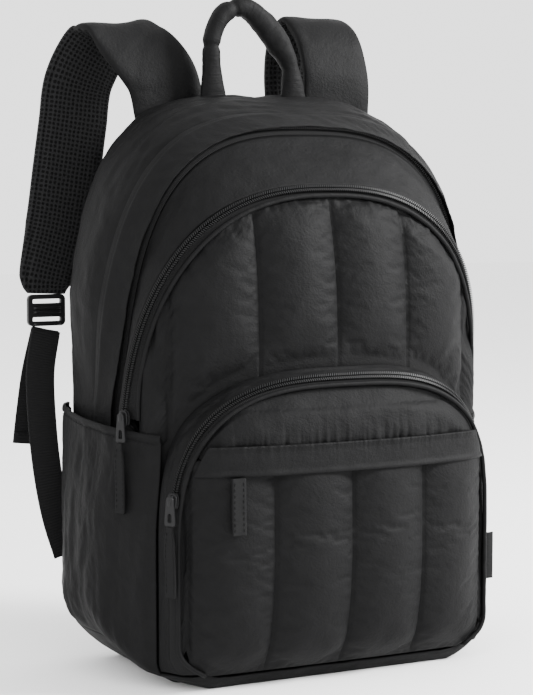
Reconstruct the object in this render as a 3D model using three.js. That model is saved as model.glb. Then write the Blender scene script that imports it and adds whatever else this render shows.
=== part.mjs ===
import * as THREE from "three";

// Quilted puffer backpack in millimetres. +Z is up, the front faces -Y, and +X is on the right of
// someone who looks at the front. The origin is on the floor, under the main compartment.

// Driving sizes
const bagHeight = 441; // floor to the crown of the back seam
const shellWidth = 300; // across the main compartment at its seams
const shellSwell = 17; // how far the cloth of the side walls bulges past the seams
const beltWidth = 344; // across the two side pockets
const backReach = 88; // back seam behind the origin
const mainDepth = 101; // back seam to the zipped front seam, at the crown
const flapLean = 33; // how far that front seam falls back on its way down
const middleReach = 15; // side rim of the middle pocket forward of the crown seam
const middleBulge = 43; // middle panel's crown forward of its side rim
const lowerReach = 40; // side rim of the lower pocket forward of the middle one
const lowerBulge = 26; // lower panel's crown forward of its side rim
const seamSpacing = 0.485; // of the quilting seams, as a share of the lower panel's half width
const middlePuff = 6; // how far a channel swells past its seams
const lowerPuff = 5;
const wall = 2; // single cloth
const padding = 8; // quilted panels
const backPadding = 9;
const clearance = 0.35; // between neighbouring pieces
const cornerHeight = 65; // rounding where the sides turn into the base
const cornerHeightFront = 22; // the same in front of the side pockets
const cornerPower = 2.2;
const baseHalf = 118; // half the width of the flat floor, between the side pockets
const baseHalfFront = 124;
const rimShare = 0.22; // the base panel's rim, in from the widest outline, as a share of the rounding
const baseTurnFront = 9; // height of the base's turned up front edge
const baseTurnBack = 24;
const turnDepthFront = 9; // over which that edge turns up
const turnDepthBack = 15;
const hemHeight = 204; // top edge of the side pockets, at the back
const hemFall = 14; // how much lower that edge ends at the front
const flapWidth = 16; // strip that covers the main zipper
const flapOverhang = 4;
const flapThickness = 2.2;
const zipperTape = 1.4;
const chainWidth = 6;
const chainHeight = 2.2;
const pipingRadius = 1.8;
const bandTop = 184; // cloth band across the lower pocket
const bandHeight = 22;
const bandThickness = 2;
const strapWidth = 58;
const strapThickness = 10;
const webbingWidth = 24;
const webbingThickness = 2;
const handleThickness = 15;
const sliderRise = 9; // of the middle slider above the side pocket's hem
const pullWidth = 8;
const pullLength = 21;
const pullThickness = 2.4;
const tabWidth = 9;
const tabThickness = 2.4;
const labelHeight = 37;
const labelReach = 10;

// Arched outlines, seen from the front. half and footInset are shares of shellWidth, the others of
// bagHeight. The sides turn in by footInset below footHeight, are straight up to the shoulder, and
// power bends the arch above it.
const outline = ({ half, shoulder, top, power, footHeight, footInset }) => ({
  half: half * shellWidth,
  shoulder: shoulder * bagHeight,
  top: top * bagHeight,
  power,
  corner: { height: footHeight * bagHeight, inset: footInset * shellWidth },
});
const outlineRows = {
  backSeam: { half: 0.497, shoulder: 0.5, top: 1, power: 2.9, footHeight: 0.147, footInset: 0.104 },
  frontSeam: { half: 0.5, shoulder: 0.5, top: 0.95, power: 2.85, footHeight: 0.147, footInset: 0.107 },
  innerSeam: { half: 0.478, shoulder: 0.5, top: 0.934, power: 2.85, footHeight: 0.147, footInset: 0.085 },
  middleZip: { half: 0.513, shoulder: 0.4535, top: 0.846, power: 2.55, footHeight: 0.147, footInset: 0.107 },
  middleRim: { half: 0.4833, shoulder: 0.4535, top: 0.8254, power: 2.4, footHeight: 0.075, footInset: 0.075 },
  lowerSeam: { half: 0.465, shoulder: 0.227, top: 0.54, power: 3, footHeight: 0.05, footInset: 0.052 },
  lowerZip: { half: 0.457, shoulder: 0.227, top: 0.529, power: 3, footHeight: 0.068, footInset: 0.1 },
  lowerRim: { half: 0.44, shoulder: 0.227, top: 0.508, power: 3, footHeight: 0.082, footInset: 0.2 },
};
const { backSeam, frontSeam, innerSeam, middleZip, middleRim, lowerSeam, lowerZip, lowerRim } =
  Object.fromEntries(Object.entries(outlineRows).map(([name, row]) => [name, outline(row)]));
const channelWidth = seamSpacing * lowerRim.half; // between two quilting seams

// Depths of the front seams, and any depth as a share of the way from the lower pocket's side rim
// (0) to the back seam (1).
const flapY = backReach - mainDepth;
const middleSideY = flapY - middleReach;
const lowerSideY = middleSideY - lowerReach;
const bodyDepth = backReach - lowerSideY;
const atDepth = (share) => lowerSideY + share * bodyDepth;

// Half the bag's width, seen from above. depth is such a share, half a share of beltWidth.
const planRows = [
  { depth: 1, half: 0.436 },
  { depth: 0.975, half: 0.456 },
  { depth: 0.923, half: 0.48 },
  { depth: 0.788, half: 0.5 },
  { depth: 0.596, half: 0.5 },
  { depth: 0.436, half: 0.486 },
  { depth: 0.308, half: 0.462 },
  { depth: 0.205, half: 0.435 },
  { depth: 0.141, half: 0.408 },
  { depth: 0.038, half: 0.39 },
  { depth: -0.032, half: 0.366 },
];
const pocketFront = atDepth(0.141); // where the side pocket's cloth ends at the front
const baseFront = atDepth(-0.006);
const baseBack = atDepth(0.98);
const heartY = atDepth(0.628);

const { abs, cos, hypot, max, min, PI, pow, sign, sin } = Math;
const mix = (a, b, t) => a + (b - a) * t;
const limit = (t) => min(1, max(0, t));
const smooth = (t) => limit(t) ** 2 * (3 - 2 * limit(t));
const point = (x, y, z) => new THREE.Vector3(x, y, z);
const along = (a, b, t) => a.clone().lerp(b, t);
const steps = (count) => Array.from({ length: count + 1 }, (_, i) => i / count);
const bothSides = (shares) => [...shares.map((t) => -t), ...shares.slice(0, -1).reverse()];

function inTable(rows, key, at, value) {
  const sorted = [...rows].sort((a, b) => a[key] - b[key]);
  const next = sorted.findIndex((row) => row[key] >= at);
  if (next === 0) return sorted[0][value];
  if (next < 0) return sorted.at(-1)[value];
  const [low, high] = [sorted[next - 1], sorted[next]];
  return mix(low[value], high[value], (at - low[key]) / (high[key] - low[key]));
}

// A rounded lower corner: how far it stands in at a height, and its height at an inset.
const tuck = (z, { height, inset }) => inset * max(0, 1 - z / height) ** cornerPower;
const tuckHeight = (over, { height, inset }) =>
  height * (1 - limit(over / inset) ** (1 / cornerPower));

const planHalf = (y) =>
  beltWidth * inTable(planRows, "depth", (y - lowerSideY) / bodyDepth, "half");
function cornerAt(y) {
  const toSide = smooth((y - pocketFront) / (0.42 * bodyDepth));
  return {
    height: mix(cornerHeightFront, cornerHeight, toSide),
    inset: planHalf(y) - mix(baseHalfFront, baseHalf, toSide),
  };
}
const rimHalf = (y) => planHalf(y) - rimShare * cornerAt(y).inset;

function baseHeight(x, y) {
  const side = tuckHeight(max(0, planHalf(y) - abs(x)), cornerAt(y));
  const turnFront = baseTurnFront * limit((baseFront + turnDepthFront - y) / turnDepthFront) ** 1.6;
  const turnBack = baseTurnBack * limit((y - baseBack + turnDepthBack) / turnDepthBack) ** 2;
  return pow(side ** 3 + turnFront ** 3 + turnBack ** 3, 1 / 3);
}
// The lowest place for a piece that stands on the base panel's inside.
function onBase(x, y) {
  const height = baseHeight(x, y);
  const slope = hypot(1, baseHeight(abs(x) + 1, y) - height, baseHeight(x, y + sign(y)) - height);
  return height + wall * slope + 2 * clearance;
}

// Points on an arch. share runs from the left foot (-1) over the crown (0) to the right foot (1).
const legShare = 0.25;
const legSteps = [1, 0.975, 0.95, 0.9, 0.84, 0.765];
const arcSteps = steps(11).map((t) => (1 - t) * (1 - legShare));
const archSteps = bothSides([...legSteps, ...arcSteps]);
const crownSteps = archSteps.filter((share) => abs(share) <= 1 - legShare);

function onArch(arch, share, foot) {
  const climb = 1 - abs(share);
  const side = sign(share);
  if (climb < legShare) {
    const z = mix(foot, arch.shoulder, climb / legShare);
    return { x: side * (arch.half - tuck(z, arch.corner)), z };
  }
  const angle = ((climb - legShare) / (1 - legShare)) * (PI / 2);
  const x = arch.half * max(0, cos(angle)) ** (2 / arch.power);
  const z = mix(arch.shoulder, arch.top, sin(angle) ** (2 / arch.power));
  return { x: share === 0 ? 0 : side * x, z };
}

function archTop(arch, x) {
  const rest = 1 - limit(abs(x) / arch.half) ** arch.power;
  return mix(arch.shoulder, arch.top, rest ** (1 / arch.power));
}

function archHalf(arch, z) {
  const rise = limit((z - arch.shoulder) / (arch.top - arch.shoulder));
  return arch.half * (1 - rise ** arch.power) ** (1 / arch.power);
}

// Depth of the seams and panels
const frontSeamY = (z) =>
  flapY + flapLean * limit((frontSeam.top - z) / (frontSeam.top - hemHeight)) ** 2.2;

function middleZipY(z) {
  const fall = limit((middleZip.top - z) / (middleZip.top - hemHeight));
  return mix(middleSideY - 0.52 * middleBulge, middleSideY + 1.33 * middleReach, fall ** 1.3);
}

// Profile of a bulging panel from its foot to its crown: share of the bulge at a share of the height.
const middleProfile = [
  { height: 0, bulge: 0.75 },
  { height: 0.27, bulge: 0.87 },
  { height: 0.5, bulge: 1 },
  { height: 0.7, bulge: 1 },
  { height: 0.82, bulge: 0.95 },
  { height: 0.93, bulge: 0.79 },
  { height: 1, bulge: 0.6 },
];
const lowerProfile = [
  { height: 0, bulge: 0 },
  { height: 0.06, bulge: 0.12 },
  { height: 0.14, bulge: 0.64 },
  { height: 0.28, bulge: 0.9 },
  { height: 0.42, bulge: 1 },
  { height: 0.7, bulge: 0.96 },
  { height: 0.88, bulge: 0.78 },
  { height: 1, bulge: 0.62 },
];

const middlePanelY = (x, z) =>
  middleSideY -
  middleBulge *
    (1 - limit(abs(x) / middleRim.half) ** 2.2) ** 0.75 *
    inTable(middleProfile, "height", z / middleRim.top, "bulge");

const lowerPanelY = (x, z) =>
  lowerSideY -
  lowerBulge *
    (1 - limit(abs(x) / lowerRim.half) ** 2.4) ** 0.8 *
    inTable(lowerProfile, "height", z / lowerRim.top, "bulge");

// A sewn channel: 0 on its seams, 1 along its middle, flatter near the panel's ends.
function puff(x, z, foot, top) {
  const across = min(abs(x / channelWidth), 2) % 1;
  const toEnd = limit(min(z - foot, top - z) / (0.35 * channelWidth));
  return (1 - abs(2 * across - 1) ** 2.6) * smooth(toEnd);
}

// The point inside the bag that walls are thickened towards, so that neighbours share one mitre.
const heart = (p) => point(0.4 * p.x, heartY, 0.5 * p.z + 0.227 * bagHeight);
const pocketHeart = (p) => point(0.5 * p.x, 0.4 * middleSideY, 0.6 * p.z + 0.09 * bagHeight);

const baseHeart = (p) => point(0.4 * p.x, 0.4 * p.y, p.z + 0.35 * beltWidth);

// Solids
function closedSolid(points, faces) {
  let volume = 0;
  for (let i = 0; i < faces.length; i += 3) {
    const [a, b, c] = [0, 1, 2].map((k) => points[faces[i + k]]);
    volume += a.dot(b.clone().cross(c));
  }
  const turned = volume < 0 ? [...faces].reverse() : faces;
  const geometry = new THREE.BufferGeometry().setFromPoints(points);
  geometry.setIndex(turned);
  geometry.computeVertexNormals();
  return geometry;
}

// Two facing grids of points, joined round their edge.
function slab(outer, inner) {
  const [rows, columns] = [outer.length, outer[0].length];
  const at = (side, r, c) => (side * rows + r) * columns + c;
  const faces = [];
  const quad = (a, b, c, d) => faces.push(a, b, c, a, c, d);
  for (let r = 0; r + 1 < rows; r++)
    for (let c = 0; c + 1 < columns; c++) {
      quad(at(0, r, c), at(0, r, c + 1), at(0, r + 1, c + 1), at(0, r + 1, c));
      quad(at(1, r, c), at(1, r + 1, c), at(1, r + 1, c + 1), at(1, r, c + 1));
    }
  const edge = [];
  for (let c = 0; c + 1 < columns; c++) edge.push([0, c]);
  for (let r = 0; r + 1 < rows; r++) edge.push([r, columns - 1]);
  for (let c = columns - 1; c > 0; c--) edge.push([rows - 1, c]);
  for (let r = rows - 1; r > 0; r--) edge.push([r, 0]);
  edge.forEach(([r, c], i) => {
    const [r2, c2] = edge[(i + 1) % edge.length];
    quad(at(0, r, c), at(1, r, c), at(1, r2, c2), at(0, r2, c2));
  });
  return closedSolid([...outer.flat(), ...inner.flat()], faces);
}

function gridNormal(grid, r, c) {
  const last = { r: grid.length - 1, c: grid[0].length - 1 };
  const down = grid[min(r + 1, last.r)][c].clone().sub(grid[max(r - 1, 0)][c]);
  const across = grid[r][min(c + 1, last.c)].clone().sub(grid[r][max(c - 1, 0)]);
  return down.cross(across).normalize();
}

// A grid moved out along its own normals.
const raised = (grid, lift, towards = heart) =>
  grid.map((row, r) =>
    row.map((p, c) => {
      const normal = gridNormal(grid, r, c);
      if (normal.dot(towards(p).sub(p)) > 0) normal.negate();
      return p.clone().addScaledVector(normal, lift);
    }),
  );

// A wall of even thickness behind a grid of points. Its edges are mitred towards the heart.
function cloth(outer, thickness, towards = heart) {
  const lastRow = outer.length - 1;
  const inner = outer.map((row, r) =>
    row.map((p, c) => {
      const inward = towards(p).sub(p).normalize();
      const normal = gridNormal(outer, r, c);
      if (normal.dot(inward) < 0) normal.negate();
      const atEdge = r === 0 || c === 0 || r === lastRow || c === row.length - 1;
      const way = atEdge ? inward.multiplyScalar(1 / max(0.45, normal.dot(inward))) : normal;
      return p.clone().addScaledVector(way, thickness);
    }),
  );
  return slab(outer, inner);
}

// A strip between two seams, given as functions of the arch share. Its cross-section is rows of
// {at: share of the way over, lift: height above the cloth}.
function strip(from, to, shares, section, thickness, towards = heart) {
  const outer = shares.map((share) => {
    const [a, b] = [from(share), to(share)];
    const trim = min(0.3, clearance / a.distanceTo(b));
    return section.map(({ at, lift }) => {
      const p = along(a, b, mix(trim, 1 - trim, at));
      const away = p.clone().sub(towards(p)).normalize();
      return p.addScaledVector(away, lift);
    });
  });
  return cloth(outer, thickness, towards);
}

// A bar through closed rings of points, capped at both ends.
function bar(rings) {
  const size = rings[0].length;
  const points = rings.flat();
  const faces = [];
  for (let r = 0; r + 1 < rings.length; r++)
    for (let i = 0; i < size; i++) {
      const [a, b] = [r * size + i, r * size + ((i + 1) % size)];
      faces.push(a, b, b + size, a, b + size, a + size);
    }
  for (const [start, order] of [
    [0, -1],
    [(rings.length - 1) * size, 1],
  ])
    for (let i = 1; i + 1 < size; i++)
      faces.push(start, ...(order > 0 ? [start + i, start + i + 1] : [start + i + 1, start + i]));
  return closedSolid(points, faces);
}

// A ribbon or tube along rows of {p, width, thick}: side is the direction of its width.
function ribbon(rows, sides, roundness) {
  const rings = rows.map((row, i) => {
    const [before, after] = [rows[max(i - 1, 0)].p, rows[min(i + 1, rows.length - 1)].p];
    const ahead = after.clone().sub(before).normalize();
    const across = row.side.clone().addScaledVector(ahead, -row.side.dot(ahead)).normalize();
    const up = across.clone().cross(ahead);
    return steps(sides)
      .slice(0, -1)
      .map((t) => {
        const angle = (t + 0.5 / sides) * 2 * PI;
        const round = (v) => sign(v) * abs(v) ** roundness;
        return row.p
          .clone()
          .addScaledVector(across, (row.width / 2) * round(cos(angle)))
          .addScaledVector(up, (row.thick / 2) * round(sin(angle)));
      });
  });
  return bar(rings);
}

const route = (points, count) => {
  const curve = new THREE.CatmullRomCurve3(points, false, "centripetal");
  return steps(count).map((t) => curve.getPointAt(t));
};

// A flat plate with rounded ends and an optional slot, standing in the XZ plane.
function plate(width, height, thickness, slots = []) {
  const shape = new THREE.Shape();
  const r = min(width, height) * 0.3;
  shape.moveTo(-width / 2 + r, -height / 2);
  shape.lineTo(width / 2 - r, -height / 2);
  shape.quadraticCurveTo(width / 2, -height / 2, width / 2, -height / 2 + r);
  shape.lineTo(width / 2, height / 2 - r);
  shape.quadraticCurveTo(width / 2, height / 2, width / 2 - r, height / 2);
  shape.lineTo(-width / 2 + r, height / 2);
  shape.quadraticCurveTo(-width / 2, height / 2, -width / 2, height / 2 - r);
  shape.lineTo(-width / 2, -height / 2 + r);
  shape.quadraticCurveTo(-width / 2, -height / 2, -width / 2 + r, -height / 2);
  for (const { z, width: w, height: h } of slots) {
    const hole = new THREE.Path();
    hole.moveTo(-w / 2, z - h / 2);
    hole.lineTo(-w / 2, z + h / 2);
    hole.lineTo(w / 2, z + h / 2);
    hole.lineTo(w / 2, z - h / 2);
    hole.closePath();
    shape.holes.push(hole);
  }
  const solid = new THREE.ExtrudeGeometry(shape, {
    depth: thickness,
    bevelEnabled: false,
    curveSegments: 3,
  });
  return solid.rotateX(PI / 2).translate(0, thickness / 2, 0);
}

// Finishes
const finish = (color, roughness, metalness = 0) => ({ color, roughness, metalness });
const nylon = finish(0x1d1d1f, 0.62);
const lining = finish(0x161618, 0.8);
const mesh = finish(0x101011, 0.9);
const webbing = finish(0x0e0e0f, 0.85);
const plastic = finish(0x0c0c0d, 0.45);
const lacquer = finish(0x1a1a1c, 0.4, 0.8);

const backpack = new THREE.Group();
function add(name, geometry, material) {
  const piece = new THREE.Mesh(geometry, new THREE.MeshStandardMaterial(material));
  piece.name = name;
  backpack.add(piece);
  return piece;
}

// Main compartment: a thin wall that bulges between the back seam and the zipped front seam.
function backRail(share) {
  const foot = onBase(backSeam.half, baseBack);
  const { x, z } = onArch(backSeam, share, foot);
  return point(x, backReach, z);
}
function frontRail(share) {
  const { x, z } = onArch(frontSeam, share, onBase(frontSeam.half, atDepth(0.605)));
  return point(x, frontSeamY(z), z);
}
function innerRail(share) {
  const { x, z } = onArch(innerSeam, share, onBase(innerSeam.half, atDepth(0.549)));
  return point(x, frontSeamY(z) - 0.5 * flapWidth, z);
}
// The bulge, from the back seam (0) to the front seam (1), as a share of shellSwell.
const swellRows = [
  { over: 0, swell: 0 },
  { over: 0.16, swell: 0.72 },
  { over: 0.4, swell: 1 },
  { over: 0.68, swell: 0.95 },
  { over: 0.86, swell: 0.52 },
  { over: 1, swell: 0 },
  { over: 1.3, swell: -0.75 },
];
function gussetPoint(share, over) {
  const p = along(backRail(share), frontRail(share), over);
  const away = point(p.x, 0, 0.75 * max(0, p.z - frontSeam.shoulder)).normalize();
  const onTop = mix(0.5, 1, limit(abs(p.x) / (0.6 * frontSeam.half)));
  const aboveHem = mix(0.4, 1, smooth((p.z - hemHeight) / (0.2 * bagHeight)));
  return p.addScaledVector(away, shellSwell * inTable(swellRows, "over", over, "swell") * onTop * aboveHem);
}
function mainGusset() {
  const overs = swellRows.map((row) => row.over).filter((over) => over <= 1);
  const trim = clearance / mainDepth;
  const rows = archSteps.map((share) =>
    overs.map((over) => gussetPoint(share, mix(trim, 1 - trim, over))),
  );
  add("main_gusset", cloth(rows, wall), nylon);
}

// The height of the compartment's top at a place on it.
function topSeat(x, y) {
  const over = (backReach - y) / mainDepth;
  const crown = crownSteps.map((share) => gussetPoint(share, over));
  const next = max(1, crown.findIndex((p) => p.x >= x));
  const [low, high] = [crown[next - 1], crown[next]];
  return mix(low.z, high.z, (x - low.x) / (high.x - low.x));
}

// Columns of a panel, as shares of its half width, and the panel as rows of points.
function panelGrid(arch, columns, rowShares, footOf, topOf, depthOf) {
  return rowShares.map((rise) =>
    columns.map((share) => {
      const x = arch.half * share;
      const z = mix(footOf(x), topOf(x), rise);
      return point(x, depthOf(x, z), z);
    }),
  );
}
// Where a panel's lower edge follows the rounding of its own outline and stands on the base.
const rimFoot = (arch, y) => (x) => max(onBase(x, y), tuckHeight(arch.half - abs(x), arch.corner));
const sineColumns = bothSides([...steps(7).map((t) => sin((1 - t) * (PI / 2)))]);
function quiltColumns(arch) {
  const channel = channelWidth / arch.half;
  const shares = steps(8).map((t) => t * 2 * channel);
  const rim = [0.55, 0.85, 1].map((t) => mix(2 * channel, 1, t));
  return bothSides([...shares, ...rim].reverse());
}

function backPanel() {
  const inset = 2 * clearance;
  const arch = { ...backSeam, half: backSeam.half - inset, top: backSeam.top - clearance };
  const crown = (x, z) =>
    0.6 * backPadding * (1 - limit(abs(x) / arch.half) ** 2) * sin(PI * limit(z / arch.top));
  const grid = panelGrid(
    arch,
    sineColumns,
    [0, 0.08, 0.25, 0.5, 0.75, 0.92, 1],
    rimFoot(arch, baseBack),
    (x) => archTop(arch, x),
    (x, z) => backReach + clearance + crown(x, z),
  );
  add("back_panel", cloth(grid, backPadding), mesh);
}

function dividerWall() {
  const inset = 3.5 * wall;
  const arch = { ...innerSeam, half: innerSeam.half - inset, top: innerSeam.top - inset };
  const depth = (x, z) =>
    frontSeamY(z) -
    0.3 * flapWidth -
    0.65 * middleBulge *
      (1 - limit(abs(x) / arch.half) ** 2) *
      smooth((arch.top - z) / (0.35 * bagHeight));
  const grid = panelGrid(
    arch,
    sineColumns,
    [0, 0.3, 0.6, 0.8, 0.92, 1],
    rimFoot(arch, atDepth(0.267)),
    (x) => archTop(arch, x),
    depth,
  );
  add("divider_wall", cloth(grid, wall), lining);
}

// The base: a shallow tray with a flat floor and edges that turn up.
function basePanel() {
  const rounding = [0, 0.08, 0.18, 0.31, 0.48, 0.7, 1];
  const turned = [-0.006, 0.013, 0.032, 0.051];
  const depths = [...turned, 0.141, 0.193, 0.267, 0.41, 0.549, 0.69, 0.884, 0.927, 0.955, 0.98];
  const grid = depths.map((depth) => {
    const y = atDepth(depth);
    const half = rounding.map((t) => mix(rimHalf(y), planHalf(y) - cornerAt(y).inset, t));
    return [...half.map((x) => -x), ...half.reverse()].map((x) => point(x, y, baseHeight(x, y)));
  });
  add("base_panel", cloth(grid, wall, baseHeart), nylon);
}

// Storm flap: a strip over the main zipper that overhangs the front.
function stormFlap() {
  const shares = archSteps.filter((share) => abs(share) < 0.95);
  const covered = shares.map((share) => {
    const length = backRail(share).distanceTo(frontRail(share));
    return [flapWidth, 0.5 * flapWidth, 0, -flapOverhang].map((back) =>
      gussetPoint(share, 1 - back / length),
    );
  });
  const outer = raised(covered, flapThickness + 3 * clearance);
  add("storm_flap", cloth(outer, flapThickness), nylon);
}

const chain = (tape) => {
  const half = chainWidth / 2 / tape;
  return [
    { at: 0, lift: 0 },
    { at: 0.5 - half, lift: 0 },
    { at: 0.5 - 0.7 * half, lift: chainHeight },
    { at: 0.5 + 0.7 * half, lift: chainHeight },
    { at: 0.5 + half, lift: 0 },
    { at: 1, lift: 0 },
  ];
};
const plain = [{ at: 0, lift: 0 }, { at: 0.5, lift: 0 }, { at: 1, lift: 0 }];

function mainZipper() {
  add("main_zipper", strip(frontRail, innerRail, archSteps, plain, zipperTape), webbing);
}

// Middle pocket
function middleRimRail(share) {
  const { x, z } = onArch(middleRim, share, middleRim.corner.height);
  return point(x, middlePanelY(x, z), z);
}
function middleZipRail(share) {
  const { x, z } = onArch(middleZip, share, middleZip.shoulder - 1);
  return point(x, middleZipY(z), z);
}
// Below its zipper the pocket's side wall runs on to the panel.
const middleWallRail = (share) =>
  abs(share) > 1 - legShare ? middleRimRail(share) : middleZipRail(share);

function middlePocket() {
  add("middle_gusset", strip(innerRail, middleWallRail, archSteps, plain, wall), nylon);
  const tape = middleZipRail(0).distanceTo(middleRimRail(0));
  add(
    "middle_zipper",
    strip(middleZipRail, middleRimRail, crownSteps, chain(tape), zipperTape),
    webbing,
  );
  const rim = { ...middleRim, half: middleRim.half - clearance, top: middleRim.top - clearance };
  const foot = (x) => rimFoot(rim, middlePanelY(x, 0) - wall)(x);
  // The channels are flat behind the lower pocket, which is sewn on over them.
  const sewnDown = (x, z) => smooth((z - archTop(lowerSeam, x) - 2 * wall) / (0.5 * channelWidth));
  const depth = (x, z) =>
    middlePanelY(x, z) - middlePuff * sewnDown(x, z) * puff(x, z, foot(x), archTop(rim, x));
  const grid = panelGrid(
    rim,
    quiltColumns(rim),
    [0, 0.3, 0.5, 0.62, 0.74, 0.84, 0.9, 0.95, 1],
    foot,
    (x) => archTop(rim, x),
    depth,
  );
  add("middle_panel", cloth(grid, padding), nylon);
  add("middle_piping", piping(middleRimRail, crownSteps), nylon);
}

function piping(rail, shares, towards = heart) {
  const rows = shares.map((share) => {
    const p = rail(share);
    const away = p.clone().sub(towards(p)).normalize();
    return {
      p: p.addScaledVector(away, pipingRadius + 2 * clearance),
      width: 2 * pipingRadius,
      thick: 2 * pipingRadius,
      side: away,
    };
  });
  return ribbon(rows, 6, 1);
}

// Lower pocket, which stands on the middle panel and on the front edges of the side pockets.
function lowerSeamRail(share) {
  const { x, z } = onArch(lowerSeam, share, lowerFoot);
  const onMiddle = middlePanelY(x, z) - 2.2 * wall - 2 * clearance;
  const fade = smooth((lowerSeam.half - abs(x)) / (0.3 * lowerSeam.half));
  return point(x, mix(pocketFront - 2 * clearance, min(pocketFront, onMiddle), fade), z);
}
function lowerZipRail(share) {
  const { x, z } = onArch(lowerZip, share, lowerFoot);
  const crown = mix(lowerSideY, pocketFront, 0.35);
  const onTop = lowerPanelY(0, lowerRim.top) + 0.1 * lowerReach;
  return point(x, mix(onTop, crown, limit(abs(x) / lowerZip.half) ** 3), z);
}
function lowerRimRail(share) {
  const { x, z } = onArch(lowerRim, share, lowerFoot);
  return point(x, lowerPanelY(x, z), z);
}
// Its side walls end above the base's rim.
const lowerFoot = tuckHeight(rimShare, { height: cornerHeightFront, inset: 1 }) + 1.5 * wall;

function lowerPocket() {
  add("lower_gusset", strip(lowerSeamRail, lowerZipRail, archSteps, plain, wall, pocketHeart), nylon);
  const tape = lowerZipRail(0.7).distanceTo(lowerRimRail(0.7));
  add(
    "lower_zipper",
    strip(lowerZipRail, lowerRimRail, archSteps, chain(tape), zipperTape, pocketHeart),
    webbing,
  );
  const rim = { ...lowerRim, half: lowerRim.half - clearance, top: lowerRim.top - clearance };
  const panelTop = bandTop - 0.45 * bandHeight;
  const foot = rimFoot(rim, baseFront);
  const top = (x) => min(panelTop, archTop(rim, x));
  const quilted = (x, z) => lowerPanelY(x, z) - lowerPuff * puff(x, z, foot(x), bandTop + bandHeight);
  const columns = quiltColumns(rim);
  const panel = panelGrid(rim, columns, [0, 0.12, 0.26, 0.45, 0.7, 1], foot, top, quilted);
  add("lower_panel", cloth(panel, padding, pocketHeart), nylon);

  const crownFoot = panelTop + 0.2 * bandHeight;
  const inCrown = columns.filter((share) => archTop(rim, rim.half * share) > crownFoot + 2);
  const swollen = (x, z) =>
    lowerPanelY(x, z) - 0.8 * lowerPuff * smooth((archTop(rim, x) - z) / (0.3 * channelWidth));
  const crown = panelGrid(
    rim,
    inCrown,
    [0, 0.35, 0.7, 1],
    () => crownFoot,
    (x) => archTop(rim, x),
    swollen,
  );
  add("lower_crown", cloth(crown, padding, pocketHeart), nylon);
  add("lower_piping", piping(lowerRimRail, archSteps, pocketHeart), nylon);

  const reach = (z) => archHalf(lowerRim, z) - 2 * pipingRadius - 2 * clearance;
  const inLastHalf = (x) => abs(x) > 1.5 * channelWidth;
  const swell = (x, z) => (inLastHalf(x) ? puff(x, z, 0, bagHeight) : 1);
  const stand = (x, z) => lowerPuff * swell(x, z) + bandThickness + 3 * clearance;
  const band = [0, 0.5, 1].map((rise) =>
    columns.map((share) => {
      const z = mix(bandTop - bandHeight, bandTop, rise);
      const x = reach(z) * share;
      return point(x, lowerPanelY(x, z) - stand(x, z), z);
    }),
  );
  add("front_band", cloth(band, bandThickness, pocketHeart), nylon);

  const tabX = -0.735 * lowerRim.half;
  const tabTop = bandTop - bandHeight - clearance;
  const tabTall = 1.9 * bandHeight;
  const tabHalf = 5.5;
  const tabGrid = [0, 0.5, 1].map((drop) =>
    [-1, 1].map((side) => {
      const z = tabTop - drop * tabTall;
      const x = tabX + side * tabHalf;
      return point(x, lowerPanelY(x, z) - lowerPuff - tabThickness - 2 * clearance, z);
    }),
  );
  add("front_tab", cloth(tabGrid, tabThickness, pocketHeart), webbing);
}

// Side pockets: open at the hem, fastened to the base and to the seams in front and behind.
const pocketHem = (y) => hemHeight - hemFall * limit((backReach - y) / (backReach - pocketFront));
function sidePocket(side, name) {
  const depths = [0.982, 0.96, 0.91, 0.803, 0.662, 0.521, 0.391, 0.278, 0.193, 0.141];
  const grid = depths.map((depth) => {
    const y = atDepth(depth);
    const foot = baseHeight(rimHalf(y), y) + 2 * clearance;
    return [0, 0.12, 0.3, 0.6, 0.87, 1].map((rise) => {
      const z = mix(foot, pocketHem(y), rise);
      const gathered = smooth((rise - 0.55) / 0.4) * smooth((0.983 - depth) / 0.17);
      const half = planHalf(y) * (1 - 0.03 * gathered) - tuck(z, cornerAt(y));
      return point(side * half, y, z);
    });
  });
  add(name, cloth(grid, wall, baseHeart), nylon);
}

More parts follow.
